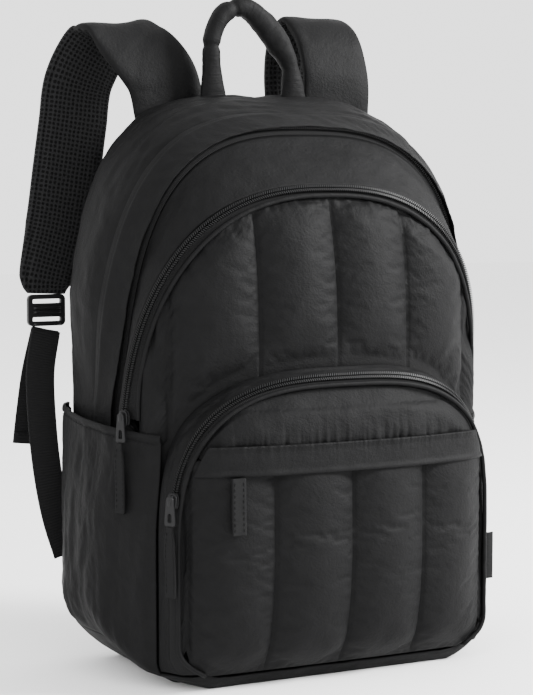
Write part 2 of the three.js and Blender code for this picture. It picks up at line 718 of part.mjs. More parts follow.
// Carrying straps. x is a share of shellWidth, y of backReach, rise (above the seat on the bag's
// top) of bagHeight, width of strapWidth and thick of strapThickness. lean tips the width.
const strapRows = {
  left: [
    { x: -0.23, y: 0.9, rise: 0, width: 1.06, thick: 0.5, lean: 0.2 },
    { x: -0.245, y: 0.93, rise: 0.05, width: 1.06, thick: 0.9, lean: 0.2 },
    { x: -0.3, y: 1.08, rise: 0.118, width: 1.05, thick: 1, lean: 0.1 },
    { x: -0.357, y: 1.27, rise: 0.145, width: 1.02, thick: 1, lean: 0 },
    { x: -0.395, y: 1.42, rise: 0.11, width: 1, thick: 1, lean: 0 },
    { x: -0.417, y: 1.48, rise: 0.04, width: 1, thick: 1, lean: 0 },
    { x: -0.436, y: 1.48, rise: -0.04, width: 1, thick: 1, lean: 0 },
    { x: -0.458, y: 1.46, rise: -0.13, width: 1, thick: 1, lean: 0 },
    { x: -0.485, y: 1.44, rise: -0.23, width: 0.97, thick: 1, lean: 0 },
    { x: -0.522, y: 1.42, rise: -0.32, width: 0.8, thick: 0.8, lean: 0 },
    { x: -0.524, y: 1.42, rise: -0.345, width: 0.55, thick: 0.45, lean: 0 },
  ],
  right: [
    { x: 0.253, y: 0.9, rise: 0, width: 1.06, thick: 0.5, lean: -0.11 },
    { x: 0.262, y: 0.93, rise: 0.055, width: 1.06, thick: 0.9, lean: -0.15 },
    { x: 0.275, y: 1.08, rise: 0.128, width: 1.05, thick: 1, lean: 0 },
    { x: 0.288, y: 1.27, rise: 0.155, width: 1.02, thick: 1, lean: 0 },
    { x: 0.302, y: 1.42, rise: 0.12, width: 1, thick: 1, lean: 0 },
    { x: 0.316, y: 1.48, rise: 0.04, width: 1, thick: 1, lean: 0 },
    { x: 0.334, y: 1.48, rise: -0.04, width: 1, thick: 1, lean: 0 },
    { x: 0.358, y: 1.46, rise: -0.13, width: 1, thick: 1, lean: 0 },
    { x: 0.385, y: 1.44, rise: -0.23, width: 0.97, thick: 1, lean: 0 },
    { x: 0.42, y: 1.42, rise: -0.32, width: 0.8, thick: 0.8, lean: 0 },
    { x: 0.422, y: 1.42, rise: -0.345, width: 0.55, thick: 0.45, lean: 0 },
  ],
};
// Centre points of a table's rows. The first one sits on the bag's top, over its whole foot.
const footShare = 0.25; // half the foot's depth, as a share of the thickness
function placed(rows, width, thickness) {
  const [{ x: share, y: depth, lean }] = rows;
  const clear = [-0.55, -0.3, 0, 0.3, 0.55].map((t) => {
    const x = share * shellWidth + t * width;
    const y = depth * backReach;
    const seats = [-footShare, footShare].map((part) => topSeat(x, y + part * thickness));
    return max(...seats) - lean * t * width;
  });
  const seat = max(...clear) + 1.5 * clearance;
  return rows.map(({ x, y, rise }) =>
    point(x * shellWidth, y * backReach, seat + rise * bagHeight),
  );
}
// A row of a table between two of its rows.
function between(rows, t) {
  const index = t * (rows.length - 1);
  const [low, high] = [rows[Math.floor(index)], rows[Math.ceil(index)]];
  return Object.fromEntries(
    Object.keys(low).map((key) => [key, mix(low[key], high[key], index % 1)]),
  );
}

function strapRibbon(rows) {
  const middles = new THREE.CatmullRomCurve3(
    placed(rows, strapWidth, strapThickness),
    false,
    "centripetal",
  );
  const stations = steps(24).map((t) => {
    const { width, thick, lean } = between(rows, t);
    return {
      p: middles.getPoint(t),
      width: strapWidth * width,
      thick: strapThickness * thick,
      side: point(1, 0, lean),
    };
  });
  return ribbon(stations, 10, 0.55);
}

// Webbing below each ladder lock, down to the bag's side, and its free tail. x is a share of
// shellWidth, y of backReach, fall (below the lock) of bagHeight.
const webbingRows = {
  left: {
    down: [
      { x: -0.524, y: 1.42, fall: 0 },
      { x: -0.553, y: 1.33, fall: 0.075 },
      { x: -0.563, y: 1.2, fall: 0.17 },
      { x: -0.558, y: 1.12, fall: 0.26 },
      { x: -0.54, y: 1.075, fall: 0.335 },
      { x: -0.512, y: 1.05, fall: 0.4 },
    ],
    tail: [
      { x: -0.524, y: 1.45, fall: 0 },
      { x: -0.545, y: 1.52, fall: 0.08 },
      { x: -0.558, y: 1.54, fall: 0.15 },
      { x: -0.568, y: 1.55, fall: 0.21 },
    ],
  },
  right: {
    down: [
      { x: 0.422, y: 1.42, fall: 0 },
      { x: 0.453, y: 1.33, fall: 0.075 },
      { x: 0.475, y: 1.2, fall: 0.17 },
      { x: 0.49, y: 1.12, fall: 0.26 },
      { x: 0.5, y: 1.075, fall: 0.335 },
      { x: 0.503, y: 1.05, fall: 0.4 },
    ],
    tail: [
      { x: 0.422, y: 1.45, fall: 0 },
      { x: 0.445, y: 1.52, fall: 0.08 },
      { x: 0.455, y: 1.54, fall: 0.15 },
      { x: 0.462, y: 1.55, fall: 0.21 },
    ],
  },
};
function webbingRibbon(rows, from, count) {
  const points = rows.map(({ x, y, fall }) =>
    point(x * shellWidth, y * backReach, from - fall * bagHeight),
  );
  const stations = route(points, count).map((p) => ({
    p,
    width: webbingWidth,
    thick: webbingThickness,
    side: point(1, 0, 0),
  }));
  return ribbon(stations, 6, 0.5);
}
function carryingStrap(side) {
  const { down, tail } = webbingRows[side];
  add("shoulder_strap_" + side, strapRibbon(strapRows[side]), nylon);
  const end = placed(strapRows[side], strapWidth, strapThickness).at(-1);
  const lockHeight = 1.05 * webbingWidth;
  const slots = [0.3, -0.3].map((z) => ({
    z: z * webbingWidth,
    width: webbingWidth + 2,
    height: 3 * webbingThickness,
  }));
  const frame = plate(1.32 * webbingWidth, lockHeight, 2.2 * webbingThickness, slots);
  const lock = add("ladder_lock_" + side, frame, plastic);
  const top = end.z - 0.01 * strapWidth;
  lock.position.set(end.x, end.y, top - lockHeight / 2);
  const below = top - lockHeight - 0.12 * webbingWidth;
  add("webbing_" + side, webbingRibbon(down, below, 12), webbing);
  add("webbing_tail_" + side, webbingRibbon(tail, below, 5), webbing);
}

// Grab handle, a stuffed tube bent into a loop. Columns as in strapRows, with its own thickness.
const handleRows = [
  { x: -0.127, y: 0.72, rise: 0, width: 0.5, thick: 1.5, lean: 0 },
  { x: -0.132, y: 0.73, rise: 0.055, width: 0.85, thick: 0.95, lean: 0 },
  { x: -0.125, y: 0.74, rise: 0.105, width: 1, thick: 0.9, lean: 0 },
  { x: -0.09, y: 0.75, rise: 0.145, width: 1, thick: 1, lean: 0 },
  { x: -0.03, y: 0.76, rise: 0.157, width: 1, thick: 1, lean: 0 },
  { x: 0.028, y: 0.76, rise: 0.13, width: 1, thick: 1, lean: 0 },
  { x: 0.072, y: 0.75, rise: 0.09, width: 1, thick: 1, lean: 0 },
  { x: 0.1, y: 0.74, rise: 0.05, width: 0.85, thick: 0.9, lean: 0 },
  { x: 0.115, y: 0.72, rise: 0.0035, width: 0.5, thick: 1.5, lean: 0 },
];
function grabHandle() {
  const middles = new THREE.CatmullRomCurve3(
    placed(handleRows, handleThickness, handleThickness),
    false,
    "centripetal",
  );
  const stations = steps(22).map((t) => {
    const { width, thick } = between(handleRows, t);
    return {
      p: middles.getPoint(t),
      width: handleThickness * width,
      thick: handleThickness * thick,
      side: point(0, 1, 0),
    };
  });
  add("grab_handle", ribbon(stations, 8, 0.9), nylon);
}

// Zipper sliders: a body on the chain at a height on its left side, a lacquered pull and a cloth
// tab. Pull and tab hang outside what reaches to widthAt.
function sliderSet(name, railA, railB, height, turn, widthAt) {
  const seats = steps(800).map((t) => along(railA(t - 1), railB(t - 1), 0.5));
  const seat = seats.find((p) => p.z >= height);
  const away = point(sin(turn), -cos(turn), 0);
  const outside = (distance, thickness) => {
    const step = 0.5 * clearance;
    const p = seat.clone().addScaledVector(away, distance);
    const count = steps(400).findIndex(
      (_, i) => abs(p.x + i * step * away.x) - widthAt(p.y + i * step * away.y) > thickness,
    );
    return distance + count * step;
  };
  const bodyThickness = 2 * chainHeight;
  const stand = chainHeight + bodyThickness / 2 + 3 * clearance;
  const nearest = stand + bodyThickness / 2 + pullThickness / 2 + clearance;
  const pullOut = outside(nearest, 0);
  const tabOut = outside(nearest, 0.5 * tabThickness);
  const slot = { z: -0.12 * pullLength, width: 0.45 * pullWidth, height: 0.4 * pullLength };
  const pieces = [
    ["_slider", plate(1.3 * chainWidth, 1.7 * chainWidth, bodyThickness), lacquer, 0, stand],
    ["_pull", plate(pullWidth, pullLength, pullThickness, [slot]), lacquer, 0.35, pullOut],
    ["_tab", plate(tabWidth, 2.5 * pullLength, tabThickness), webbing, 2.12, tabOut],
  ];
  for (const [label, geometry, material, drop, distance] of pieces) {
    const piece = add(name + label, geometry, material);
    piece.position.copy(seat).addScaledVector(away, distance);
    piece.position.z -= drop * pullLength;
    piece.rotation.z = turn;
  }
}

// Bare label sewn into the right seam of the lower pocket.
function sideLabel() {
  const middle = 0.18 * bagHeight;
  const x = lowerZip.half + 2 * clearance;
  const y = mix(lowerSideY, pocketFront, 0.35);
  const shape = new THREE.BoxGeometry(labelReach, 1.2, labelHeight);
  const label = add("side_label", shape, webbing);
  label.position.set(x + labelReach / 2, y, middle);
}

mainGusset();
backPanel();
dividerWall();
basePanel();
mainZipper();
stormFlap();
middlePocket();
lowerPocket();
sidePocket(-1, "side_pocket_left");
sidePocket(1, "side_pocket_right");
for (const side of ["left", "right"]) carryingStrap(side);
grabHandle();
const middleSliderZ = pocketHem(middleSideY) + sliderRise;
sliderSet("middle", middleZipRail, middleRimRail, middleSliderZ, -1.15, planHalf);
sliderSet("lower", lowerZipRail, lowerRimRail, 0.327 * bagHeight, -1.05, () => 0);
sideLabel();

export default backpack;
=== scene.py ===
import copy
import math

import bmesh
import bpy
import numpy as np
from mathutils import Euler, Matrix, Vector, noise


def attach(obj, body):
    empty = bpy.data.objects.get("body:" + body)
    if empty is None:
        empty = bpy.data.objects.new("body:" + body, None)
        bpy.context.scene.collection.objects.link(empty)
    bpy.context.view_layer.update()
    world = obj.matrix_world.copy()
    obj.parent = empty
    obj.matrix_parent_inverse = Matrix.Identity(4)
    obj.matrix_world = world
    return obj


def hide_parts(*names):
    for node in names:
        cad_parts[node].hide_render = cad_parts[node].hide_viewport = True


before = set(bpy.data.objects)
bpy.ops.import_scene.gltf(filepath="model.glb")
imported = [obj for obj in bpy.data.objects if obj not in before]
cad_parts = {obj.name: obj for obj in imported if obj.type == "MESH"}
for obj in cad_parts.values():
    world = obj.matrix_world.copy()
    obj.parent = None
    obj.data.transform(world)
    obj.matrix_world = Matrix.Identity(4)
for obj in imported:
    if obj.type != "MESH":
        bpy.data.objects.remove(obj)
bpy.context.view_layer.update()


def added(name, data):
    """A new object in the scene."""
    made = bpy.data.objects.new(name, data)
    bpy.context.scene.collection.objects.link(made)
    return made


# The camera, at the photograph's angle
camera = added("camera", bpy.data.cameras.new("camera"))
camera.location = (-0.786, -1.433, 0.383)
camera.rotation_euler = Euler((math.radians(90 - 4.78), 0, math.radians(-28)))
camera.data.sensor_width = 36
camera.data.lens = 108.47
bpy.context.scene.camera = camera

# Driving sizes in millimetres, as in the CAD. Meshes are turned into metres when they are made.
MM = 0.001
bag_height = 441
shell_width = 300
shell_swell = 17
belt_width = 344
back_reach = 88
main_depth = 101
flap_lean = 33
middle_reach = 15
middle_bulge = 43
lower_reach = 40
lower_bulge = 26
middle_puff = 6
lower_puff = 5
wall = 2
padding = 8
back_padding = 9
corner_power = 2.2
base_half = 118
base_half_front = 124
corner_height = 65
corner_height_front = 22
hem_height = 204
hem_fall = 14
flap_width = 16
chain_width = 6
band_top = 184
band_height = 22
strap_width = 58
strap_thickness = 10
webbing_width = 24
webbing_thickness = 2
handle_thickness = 15

# Other lengths in millimetres. CLEAR is the gap that neighbours keep.
CLEAR = 0.35
POCKET_FOOT = 14
FRONT_TURN = 9
BACK_TURN = 15
BACK_TURN_RISE = 24
CORNER_START = -44
FRONT_ROUNDING = 16
STITCH = 2.8
STITCH_GAP = 1.4
SEAM_DEPTH = 1.1
PAD_EDGE = 1.2
PIPING_RADIUS = 1.8
ZIPPER_TAPE = 1.4
TOOTH_PITCH = 1.8
TOOTH_HEIGHT = 1.6
LOWER_SLIDER = 0.327 * bag_height
PULL_LENGTH = 21
PULL_THICKNESS = 2.4
CHAIN_HEIGHT = 2.2
TAB_THICKNESS = 2.4

# Shares
LEG_SHARE = 0.25
MAIN_CHAIN = 0.25
POCKET_CHAIN = 0.33
RIM_SHARE = 0.22
CORNER_CUT = 0.85
TOOTH_SKEW = 0.42
CREASE = 0.55

# The cloth solver: its pressure, the cloth's slack, how far a point may move, and its frames
PRESSURE = 60
SLACK = 0.012
PUFF_LIMIT = 5.0
PUFF_FRAMES = 18

flap_y = back_reach - main_depth
middle_side_y = flap_y - middle_reach
lower_side_y = middle_side_y - lower_reach
body_depth = back_reach - lower_side_y
pocket_front = lower_side_y + 0.141 * body_depth
heart_y = lower_side_y + 0.628 * body_depth
base_front = lower_side_y - 0.006 * body_depth
base_back = lower_side_y + 0.98 * body_depth


def mix(a, b, t):
    return a + (b - a) * t


def limit(t):
    return np.clip(t, 0, 1)


def smooth(t):
    t = limit(t)
    return t * t * (3 - 2 * t)


def table(rows, at, spread=0.0):
    """Reads rows of (place, value) at some places, with its bends rounded off over a spread."""
    places, values = zip(*sorted(rows))
    shifts = np.linspace(-spread, spread, 9)
    return sum(np.interp(np.asarray(at, float) + s, places, values) for s in shifts) / len(shifts)


def stack(x, y, z):
    return np.stack(np.broadcast_arrays(x, y, z), axis=-1).astype(float)


def unit(v):
    return v / np.maximum(np.linalg.norm(v, axis=-1, keepdims=True), 1e-9)


class Arch:
    """An arched outline, seen from the front. half and foot_inset are shares of shell_width, the
    other lengths of bag_height."""

    def __init__(self, half, shoulder, top, power, foot_height, foot_inset):
        self.half = half * shell_width
        self.shoulder = shoulder * bag_height
        self.top = top * bag_height
        self.power = power
        self.foot_height = foot_height * bag_height
        self.foot_inset = foot_inset * shell_width

    def inside(self, inset, drop):
        """The same outline, a little smaller."""
        smaller = copy.copy(self)
        smaller.half -= inset
        smaller.top -= drop
        return smaller

    def tuck(self, z):
        return self.foot_inset * np.maximum(0, 1 - z / self.foot_height) ** corner_power

    def foot_at(self, x):
        over = limit((self.half - abs(x)) / self.foot_inset)
        return self.foot_height * (1 - over ** (1 / corner_power))

    def top_at(self, x):
        rest = 1 - limit(abs(x) / self.half) ** self.power
        return mix(self.shoulder, self.top, rest ** (1 / self.power))

    def half_at(self, z):
        rise = limit((z - self.shoulder) / (self.top - self.shoulder))
        return self.half * (1 - rise**self.power) ** (1 / self.power)

    def at(self, share, foot):
        """x and z at shares from the left foot (-1) over the crown (0) to the right foot (1)."""
        share = np.asarray(share, float)
        climb = 1 - abs(share)
        z_leg = mix(foot, self.shoulder, climb / LEG_SHARE)
        angle = limit((climb - LEG_SHARE) / (1 - LEG_SHARE)) * math.pi / 2
        x_arc = self.half * np.maximum(0, np.cos(angle)) ** (2 / self.power)
        z_arc = mix(self.shoulder, self.top, np.sin(angle) ** (2 / self.power))
        on_leg = climb < LEG_SHARE
        x = np.where(on_leg, self.half - self.tuck(z_leg), x_arc)
        return np.sign(share) * x, np.where(on_leg, z_leg, z_arc)


back_seam = Arch(0.497, 0.5, 1, 2.9, 0.147, 0.104)
front_seam = Arch(0.5, 0.5, 0.95, 2.85, 0.147, 0.107)
inner_seam = Arch(0.478, 0.5, 0.934, 2.85, 0.147, 0.085)
middle_zip = Arch(0.513, 0.4535, 0.846, 2.55, 0.147, 0.107)
middle_rim = Arch(0.4833, 0.4535, 0.8254, 2.4, 0.075, 0.075)
lower_seam = Arch(0.465, 0.227, 0.54, 3, 0.05, 0.052)
lower_zip = Arch(0.457, 0.227, 0.529, 3, 0.068, 0.1)
lower_rim = Arch(0.44, 0.227, 0.508, 3, 0.082, 0.2)
channel_width = 0.485 * lower_rim.half
CELL = channel_width / 20

# Tables of a share along or up a piece, and a share of its size there
PLAN = [(1, 0.436), (0.975, 0.456), (0.923, 0.48), (0.788, 0.5), (0.596, 0.5), (0.436, 0.486),
        (0.308, 0.462), (0.205, 0.435), (0.141, 0.408), (0.038, 0.39), (-0.032, 0.366)]
MIDDLE_PROFILE = [(0, 0.75), (0.27, 0.87), (0.5, 1), (0.7, 1), (0.82, 0.95), (0.93, 0.79), (1, 0.6)]
LOWER_PROFILE = [(0, 0), (0.06, 0.12), (0.14, 0.64), (0.28, 0.9), (0.42, 1), (0.7, 0.96),
                 (0.88, 0.78), (1, 0.62)]
SWELL = [(0, 0), (0.16, 0.72), (0.4, 1), (0.68, 0.95), (0.86, 0.52), (1, 0), (1.3, -0.75)]


def plan_half(y):
    return belt_width * table(PLAN, (y - lower_side_y) / body_depth, 0.03)


def corner_at(y):
    """Height and inset of the rounding where the sides turn into the base."""
    to_side = smooth((y - pocket_front) / (0.42 * body_depth))
    floor_half = mix(base_half_front, base_half, to_side)
    return mix(corner_height_front, corner_height, to_side), plan_half(y) - floor_half


def rim_half(y):
    return plan_half(y) - RIM_SHARE * corner_at(y)[1]


def base_height(x, y):
    height, inset = corner_at(y)
    over = np.maximum(0, plan_half(y) - abs(x))
    side = height * (1 - limit(over / inset) ** (1 / corner_power))
    turn_front = FRONT_TURN * limit((base_front + FRONT_TURN - y) / FRONT_TURN) ** 1.6
    turn_back = BACK_TURN_RISE * limit((y - base_back + BACK_TURN) / BACK_TURN) ** 2
    return (side**3 + turn_front**3 + turn_back**3) ** (1 / 3)


def on_base(x, y):
    """The lowest place for a piece that stands on the base panel's inside."""
    height = base_height(x, y)
    slope_x = base_height(abs(x) + 1, y) - height
    slope_y = base_height(x, y + np.sign(y)) - height
    return height + wall * np.sqrt(1 + slope_x**2 + slope_y**2) + 2 * CLEAR


def front_seam_y(z):
    fall = limit((front_seam.top - z) / (front_seam.top - hem_height))
    return flap_y + flap_lean * fall**2.2


def middle_zip_y(z):
    fall = limit((middle_zip.top - z) / (middle_zip.top - hem_height))
    return mix(middle_side_y - 0.52 * middle_bulge, middle_side_y + 1.33 * middle_reach, fall**1.3)


def middle_panel_y(x, z):
    across = (1 - limit(abs(x) / middle_rim.half) ** 2.2) ** 0.75
    return middle_side_y - middle_bulge * across * table(MIDDLE_PROFILE, z / middle_rim.top, 0.05)


def lower_panel_y(x, z):
    across = (1 - limit(abs(x) / lower_rim.half) ** 2.4) ** 0.8
    return lower_side_y - lower_bulge * across * table(LOWER_PROFILE, z / lower_rim.top, 0.04)


def heart(p):
    """The point inside the bag that its walls face away from."""
    return stack(0.4 * p[..., 0], heart_y, 0.5 * p[..., 2] + 0.227 * bag_height)


def pocket_heart(p):
    return stack(0.5 * p[..., 0], 0.4 * middle_side_y, 0.6 * p[..., 2] + 0.09 * bag_height)


def base_heart(p):
    return stack(0.4 * p[..., 0], 0.4 * p[..., 1], p[..., 2] + 0.35 * belt_width)


def lower_seam_y(x, z):
    on_middle = middle_panel_y(x, z) - 2.2 * wall - 2 * CLEAR
    fade = smooth((lower_seam.half - abs(x)) / (0.3 * lower_seam.half))
    return mix(pocket_front - 2 * CLEAR, np.minimum(pocket_front, on_middle), fade)


def lower_zip_y(x, z):
    crown = mix(lower_side_y, pocket_front, 0.35)
    on_top = lower_panel_y(0, lower_rim.top) + 0.1 * lower_reach
    return mix(on_top, crown, limit(abs(x) / lower_zip.half) ** 3)


crown_shares = np.linspace(-1 + LEG_SHARE, 1 - LEG_SHARE, 261)
arch_line = np.linspace(-1, 1, 321)


def rail(arch, foot, depth):
    """A curve over an arch, at a depth for each x and z. It is read at shares, as Arch.at is."""

    def points(share):
        x, z = arch.at(share, foot)
        return stack(x, depth(x, z), z)

    return points


back_foot = on_base(back_seam.half, base_back)
front_foot = on_base(front_seam.half, lower_side_y + 0.605 * body_depth)
inner_foot = on_base(inner_seam.half, lower_side_y + 0.549 * body_depth)
back_rail = rail(back_seam, back_foot, lambda x, z: back_reach)
front_rail = rail(front_seam, front_foot, lambda x, z: front_seam_y(z))
inner_rail = rail(inner_seam, inner_foot, lambda x, z: front_seam_y(z) - 0.5 * flap_width)
middle_zip_rail = rail(middle_zip, middle_zip.shoulder - 1, lambda x, z: middle_zip_y(z))
middle_rim_rail = rail(middle_rim, middle_rim.foot_height, middle_panel_y)
lower_seam_rail = rail(lower_seam, POCKET_FOOT, lower_seam_y)
lower_zip_rail = rail(lower_zip, POCKET_FOOT, lower_zip_y)
lower_rim_rail = rail(lower_rim, POCKET_FOOT, lower_panel_y)


def gusset_point(share, over):
    """The side wall, from the back seam (0) to the front seam (1)."""
    p = mix(back_rail(share), front_rail(share), np.asarray(over)[..., None])
    away = unit(stack(p[..., 0], 0, 0.75 * np.maximum(0, p[..., 2] - front_seam.shoulder)))
    on_top = mix(0.5, 1, limit(abs(p[..., 0]) / (0.6 * front_seam.half)))
    above_hem = mix(0.4, 1, smooth((p[..., 2] - hem_height) / (0.2 * bag_height)))
    swell = shell_swell * table(SWELL, over, 0.06) * on_top * above_hem
    return p + away * swell[..., None]


# Parts of pieces: points in millimetres, faces, and lengths along the cloth in metres
def grid_faces(rows, columns, ring=False):
    r, c = np.meshgrid(np.arange(rows - 1), np.arange(columns if ring else columns - 1), indexing="ij")
    after = (c + 1) % columns
    corners = (r * columns + c, r * columns + after, (r + 1) * columns + after, (r + 1) * columns + c)
    return np.stack(corners, -1).reshape(-1, 4)


def grid_lengths(grid):
    """Distances along a grid's columns and rows."""
    across = np.cumsum(np.linalg.norm(np.diff(grid, axis=1, prepend=grid[:, :1]), axis=-1), axis=1)
    down = np.cumsum(np.linalg.norm(np.diff(grid, axis=0, prepend=grid[:1]), axis=-1), axis=0)
    return np.stack([across, down], -1) * MM


NO_TRIANGLES = np.zeros((0, 3), int)
NO_QUADS = np.zeros((0, 4), int)


def solid(points, quads, triangles=NO_TRIANGLES, lengths=None, material=0, rounded=True):
    """A closed part whose faces look outwards. material is one index, or one for each quad."""
    a, b, c, d = (points[quads[:, i]] for i in range(4))
    volume = np.sum(a * np.cross(b, c)) + np.sum(a * np.cross(c, d))
    e, f, g = (points[triangles[:, i]] for i in range(3))
    volume += np.sum(e * np.cross(f, g))
    if volume < 0:
        quads = quads[:, ::-1]
        triangles = triangles[:, ::-1]
    return {
        "points": points,
        "faces": quads.tolist() + triangles.tolist(),
        "lengths": points[:, [0, 2]] * MM if lengths is None else lengths.reshape(-1, 2),
        "materials": np.concatenate([
            np.broadcast_to(material, len(quads)),
            np.full(len(triangles), np.ravel(material)[0]),
        ]),
        "rounded": rounded,
    }


def slab(outer, inner):
    rows, columns = outer.shape[:2]
    count = rows * columns
    front = grid_faces(rows, columns)
    index = np.arange(count).reshape(rows, columns)
    edge = np.concatenate([index[0, :-1], index[:-1, -1], index[-1, :0:-1], index[:0:-1, 0]])
    after = np.roll(edge, -1)
    rim = np.stack([edge, edge + count, after + count, after], -1)
    points = np.concatenate([outer.reshape(-1, 3), inner.reshape(-1, 3)])
    lengths = np.concatenate([grid_lengths(outer).reshape(-1, 2)] * 2)
    quads = np.concatenate([front, front[:, ::-1] + count, rim])
    return solid(points, quads, lengths=lengths)


def normals(grid, towards):
    """Unit normals of a grid that face away from the heart."""
    normal = unit(np.cross(np.gradient(grid, axis=0), np.gradient(grid, axis=1)))
    inward = np.sum(normal * (towards(grid) - grid), axis=-1, keepdims=True)
    return np.where(inward > 0, -normal, normal)


def cloth(outer, thickness, towards=heart):
    thickness = np.broadcast_to(thickness, outer.shape[:2])[..., None]
    return slab(outer, outer - normals(outer, towards) * thickness)


def tube(rings, lengths, material):
    """A closed part through rings of points, capped at both ends."""
    rows, size = rings.shape[:2]
    middle = np.arange(1, size - 1)
    first = np.stack([0 * middle, middle + 1, middle], -1)
    last = np.stack([0 * middle, middle, middle + 1], -1) + (rows - 1) * size
    if np.ndim(material):
        material = np.tile(material, rows - 1)
    quads = grid_faces(rows, size, ring=True)
    return solid(rings.reshape(-1, 3), quads, np.concatenate([first, last]), lengths, material)


def ribbon(middles, side, width, thick, sides=12, roundness=1.0, material=0, shape=None):
    """A ribbon or tube along middles. side is the direction of its width, and shape can move a
    ring's points by (share along, cos, sin)."""
    middles = np.asarray(middles, float)
    ahead = unit(np.gradient(middles, axis=0))
    side = np.broadcast_to(side, middles.shape)
    across = unit(side - ahead * np.sum(side * ahead, -1, keepdims=True))
    up = np.cross(across, ahead)
    angle = (np.arange(sides) + 0.5) / sides * 2 * math.pi
    c, s = np.cos(angle), np.sin(angle)
    u = np.sign(c) * abs(c) ** roundness * np.broadcast_to(width, len(middles))[:, None] / 2
    v = np.sign(s) * abs(s) ** roundness * np.broadcast_to(thick, len(middles))[:, None] / 2
    if shape:
        u, v = shape(np.linspace(0, 1, len(middles))[:, None], c, s, u, v)
    rings = middles[:, None] + across[:, None] * u[..., None] + up[:, None] * v[..., None]
    gone = np.cumsum(np.linalg.norm(np.diff(middles, axis=0, prepend=middles[:1]), axis=-1))
    lengths = np.stack([u, np.broadcast_to(gone[:, None], u.shape)], -1) * MM
    return tube(rings, lengths, material)


def boxes(centres, ahead, across, length, width, height):
    """Many small blocks, narrower at their tops, in the piece's second material."""
    up = np.cross(ahead, across)
    signs = np.array([(-1, -1), (1, -1), (1, 1), (-1, 1)]) / 2
    layers = []
    for level, share in ((-0.5, 1), (0.5, 0.62)):
        flat = signs[None, :, :1] * length * share * ahead[:, None]
        flat = flat + signs[None, :, 1:] * width * share * across[:, None]
        layers.append(centres[:, None] + flat + level * height * up[:, None])
    points = np.concatenate(layers, 1)
    faces = np.array([(0, 3, 2, 1), (4, 5, 6, 7), (0, 1, 5, 4), (1, 2, 6, 5), (2, 3, 7, 6), (3, 0, 4, 7)])
    quads = (faces[None] + 8 * np.arange(len(centres))[:, None, None]).reshape(-1, 4)
    return solid(points.reshape(-1, 3), quads, material=1, rounded=False)


def walk(path, places):
    """Points at distances along a path."""
    gone = np.concatenate([[0], np.cumsum(np.linalg.norm(np.diff(path, axis=0), axis=1))])
    return np.stack([np.interp(places, gone, path[:, k]) for k in range(3)], -1)


def path_length(path):
    return np.sum(np.linalg.norm(np.diff(path, axis=0), axis=1))


def stitches(path, away, width=0.7):
    """Dashes of thread along a path, on cloth that faces away."""
    starts = np.arange(1, path_length(path) - STITCH, STITCH + STITCH_GAP)
    before, after, middle = (walk(path, starts + part * STITCH) for part in (0, 1, 0.5))
    ahead = unit(after - before)
    out = walk(np.broadcast_to(away, path.shape) + path, starts + STITCH / 2) - middle
    across = unit(np.cross(unit(out), ahead))
    return boxes((before + after) / 2, ahead, across, STITCH, width, 0.7)


def grid_stitches(grid, line, towards=heart, sink=0.1, width=0.6):
    """Stitches along a line of a grid, given as an index into it."""
    outward = normals(grid, towards)
    return stitches(grid[line] + outward[line] * (0.25 - sink), outward[line], width)


def rounded_outline(width, height, radius, narrow=0.0):
    """A rounded rectangle. narrow is how much less wide its top is, as a share."""
    loop = []
    for corner, (sx, sy) in enumerate([(1, -1), (1, 1), (-1, 1), (-1, -1)]):
        for turn in np.linspace(-90, 0, 6) + 90 * corner:
            x = sx * (width / 2 - radius) + radius * math.cos(math.radians(turn))
            y = sy * (height / 2 - radius) + radius * math.sin(math.radians(turn))
            loop.append((x * (1 - narrow * (0.5 + y / height)), y))
    return loop


def plate(outline, holes, thickness, place, right, up):
    """A bevelled plate with holes, set at a place with its right and up directions."""
    bevel = 0.5
    curve = bpy.data.curves.new("plate_outline", "CURVE")
    curve.dimensions = "2D"
    curve.fill_mode = "BOTH"
    curve.extrude = thickness / 2 - bevel
    curve.bevel_depth = bevel
    curve.bevel_resolution = 2
    for loop in [outline, *holes]:
        spline = curve.splines.new("POLY")
        spline.points.add(len(loop) - 1)
        spline.points.foreach_set("co", [value for x, y in loop for value in (x, y, 0, 1)])
        spline.use_cyclic_u = True
    holder = added("plate_outline", curve)
    flat = bpy.data.meshes.new_from_object(holder.evaluated_get(bpy.context.evaluated_depsgraph_get()))
    work = bmesh.new()
    work.from_mesh(flat)
    bmesh.ops.remove_doubles(work, verts=work.verts, dist=1e-4)
    bmesh.ops.triangulate(work, faces=work.faces)
    local = np.array([v.co for v in work.verts])
    triangles = np.array([[v.index for v in f.verts] for f in work.faces])
    work.free()
    bpy.data.objects.remove(holder)
    bpy.data.curves.remove(curve)
    bpy.data.meshes.remove(flat)
    axes = np.stack([unit(np.array(right)), unit(np.array(up)), unit(np.cross(right, up))])
    return solid(place + local @ axes, NO_QUADS, triangles, rounded=False)


def build(name, parts, stands_for, materials=None):
    """One piece of the scene, which stands for a CAD node and moves with the bag."""
    points = np.concatenate([part["points"] for part in parts]) * MM
    starts = np.cumsum([0] + [len(part["points"]) for part in parts])
    faces = [[i + start for i in face] for part, start in zip(parts, starts) for face in part["faces"]]
    mesh = bpy.data.meshes.new(name)
    mesh.from_pydata(points.tolist(), [], faces)
    for material in materials or [shell]:
        mesh.materials.append(material)
    indices = np.concatenate([part["materials"] for part in parts])
    mesh.polygons.foreach_set("material_index", indices)
    rounded = np.concatenate([np.full(len(part["faces"]), part["rounded"]) for part in parts])
    mesh.polygons.foreach_set("use_smooth", rounded)
    corners = np.zeros(len(mesh.loops), int)
    mesh.loops.foreach_get("vertex_index", corners)
    lengths = np.concatenate([part["lengths"] for part in parts])
    mesh.uv_layers.new(name="lengths").data.foreach_set("uv", lengths[corners].ravel())
    piece = added(name, mesh)
    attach(piece, "root")
    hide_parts(stands_for)
    return piece


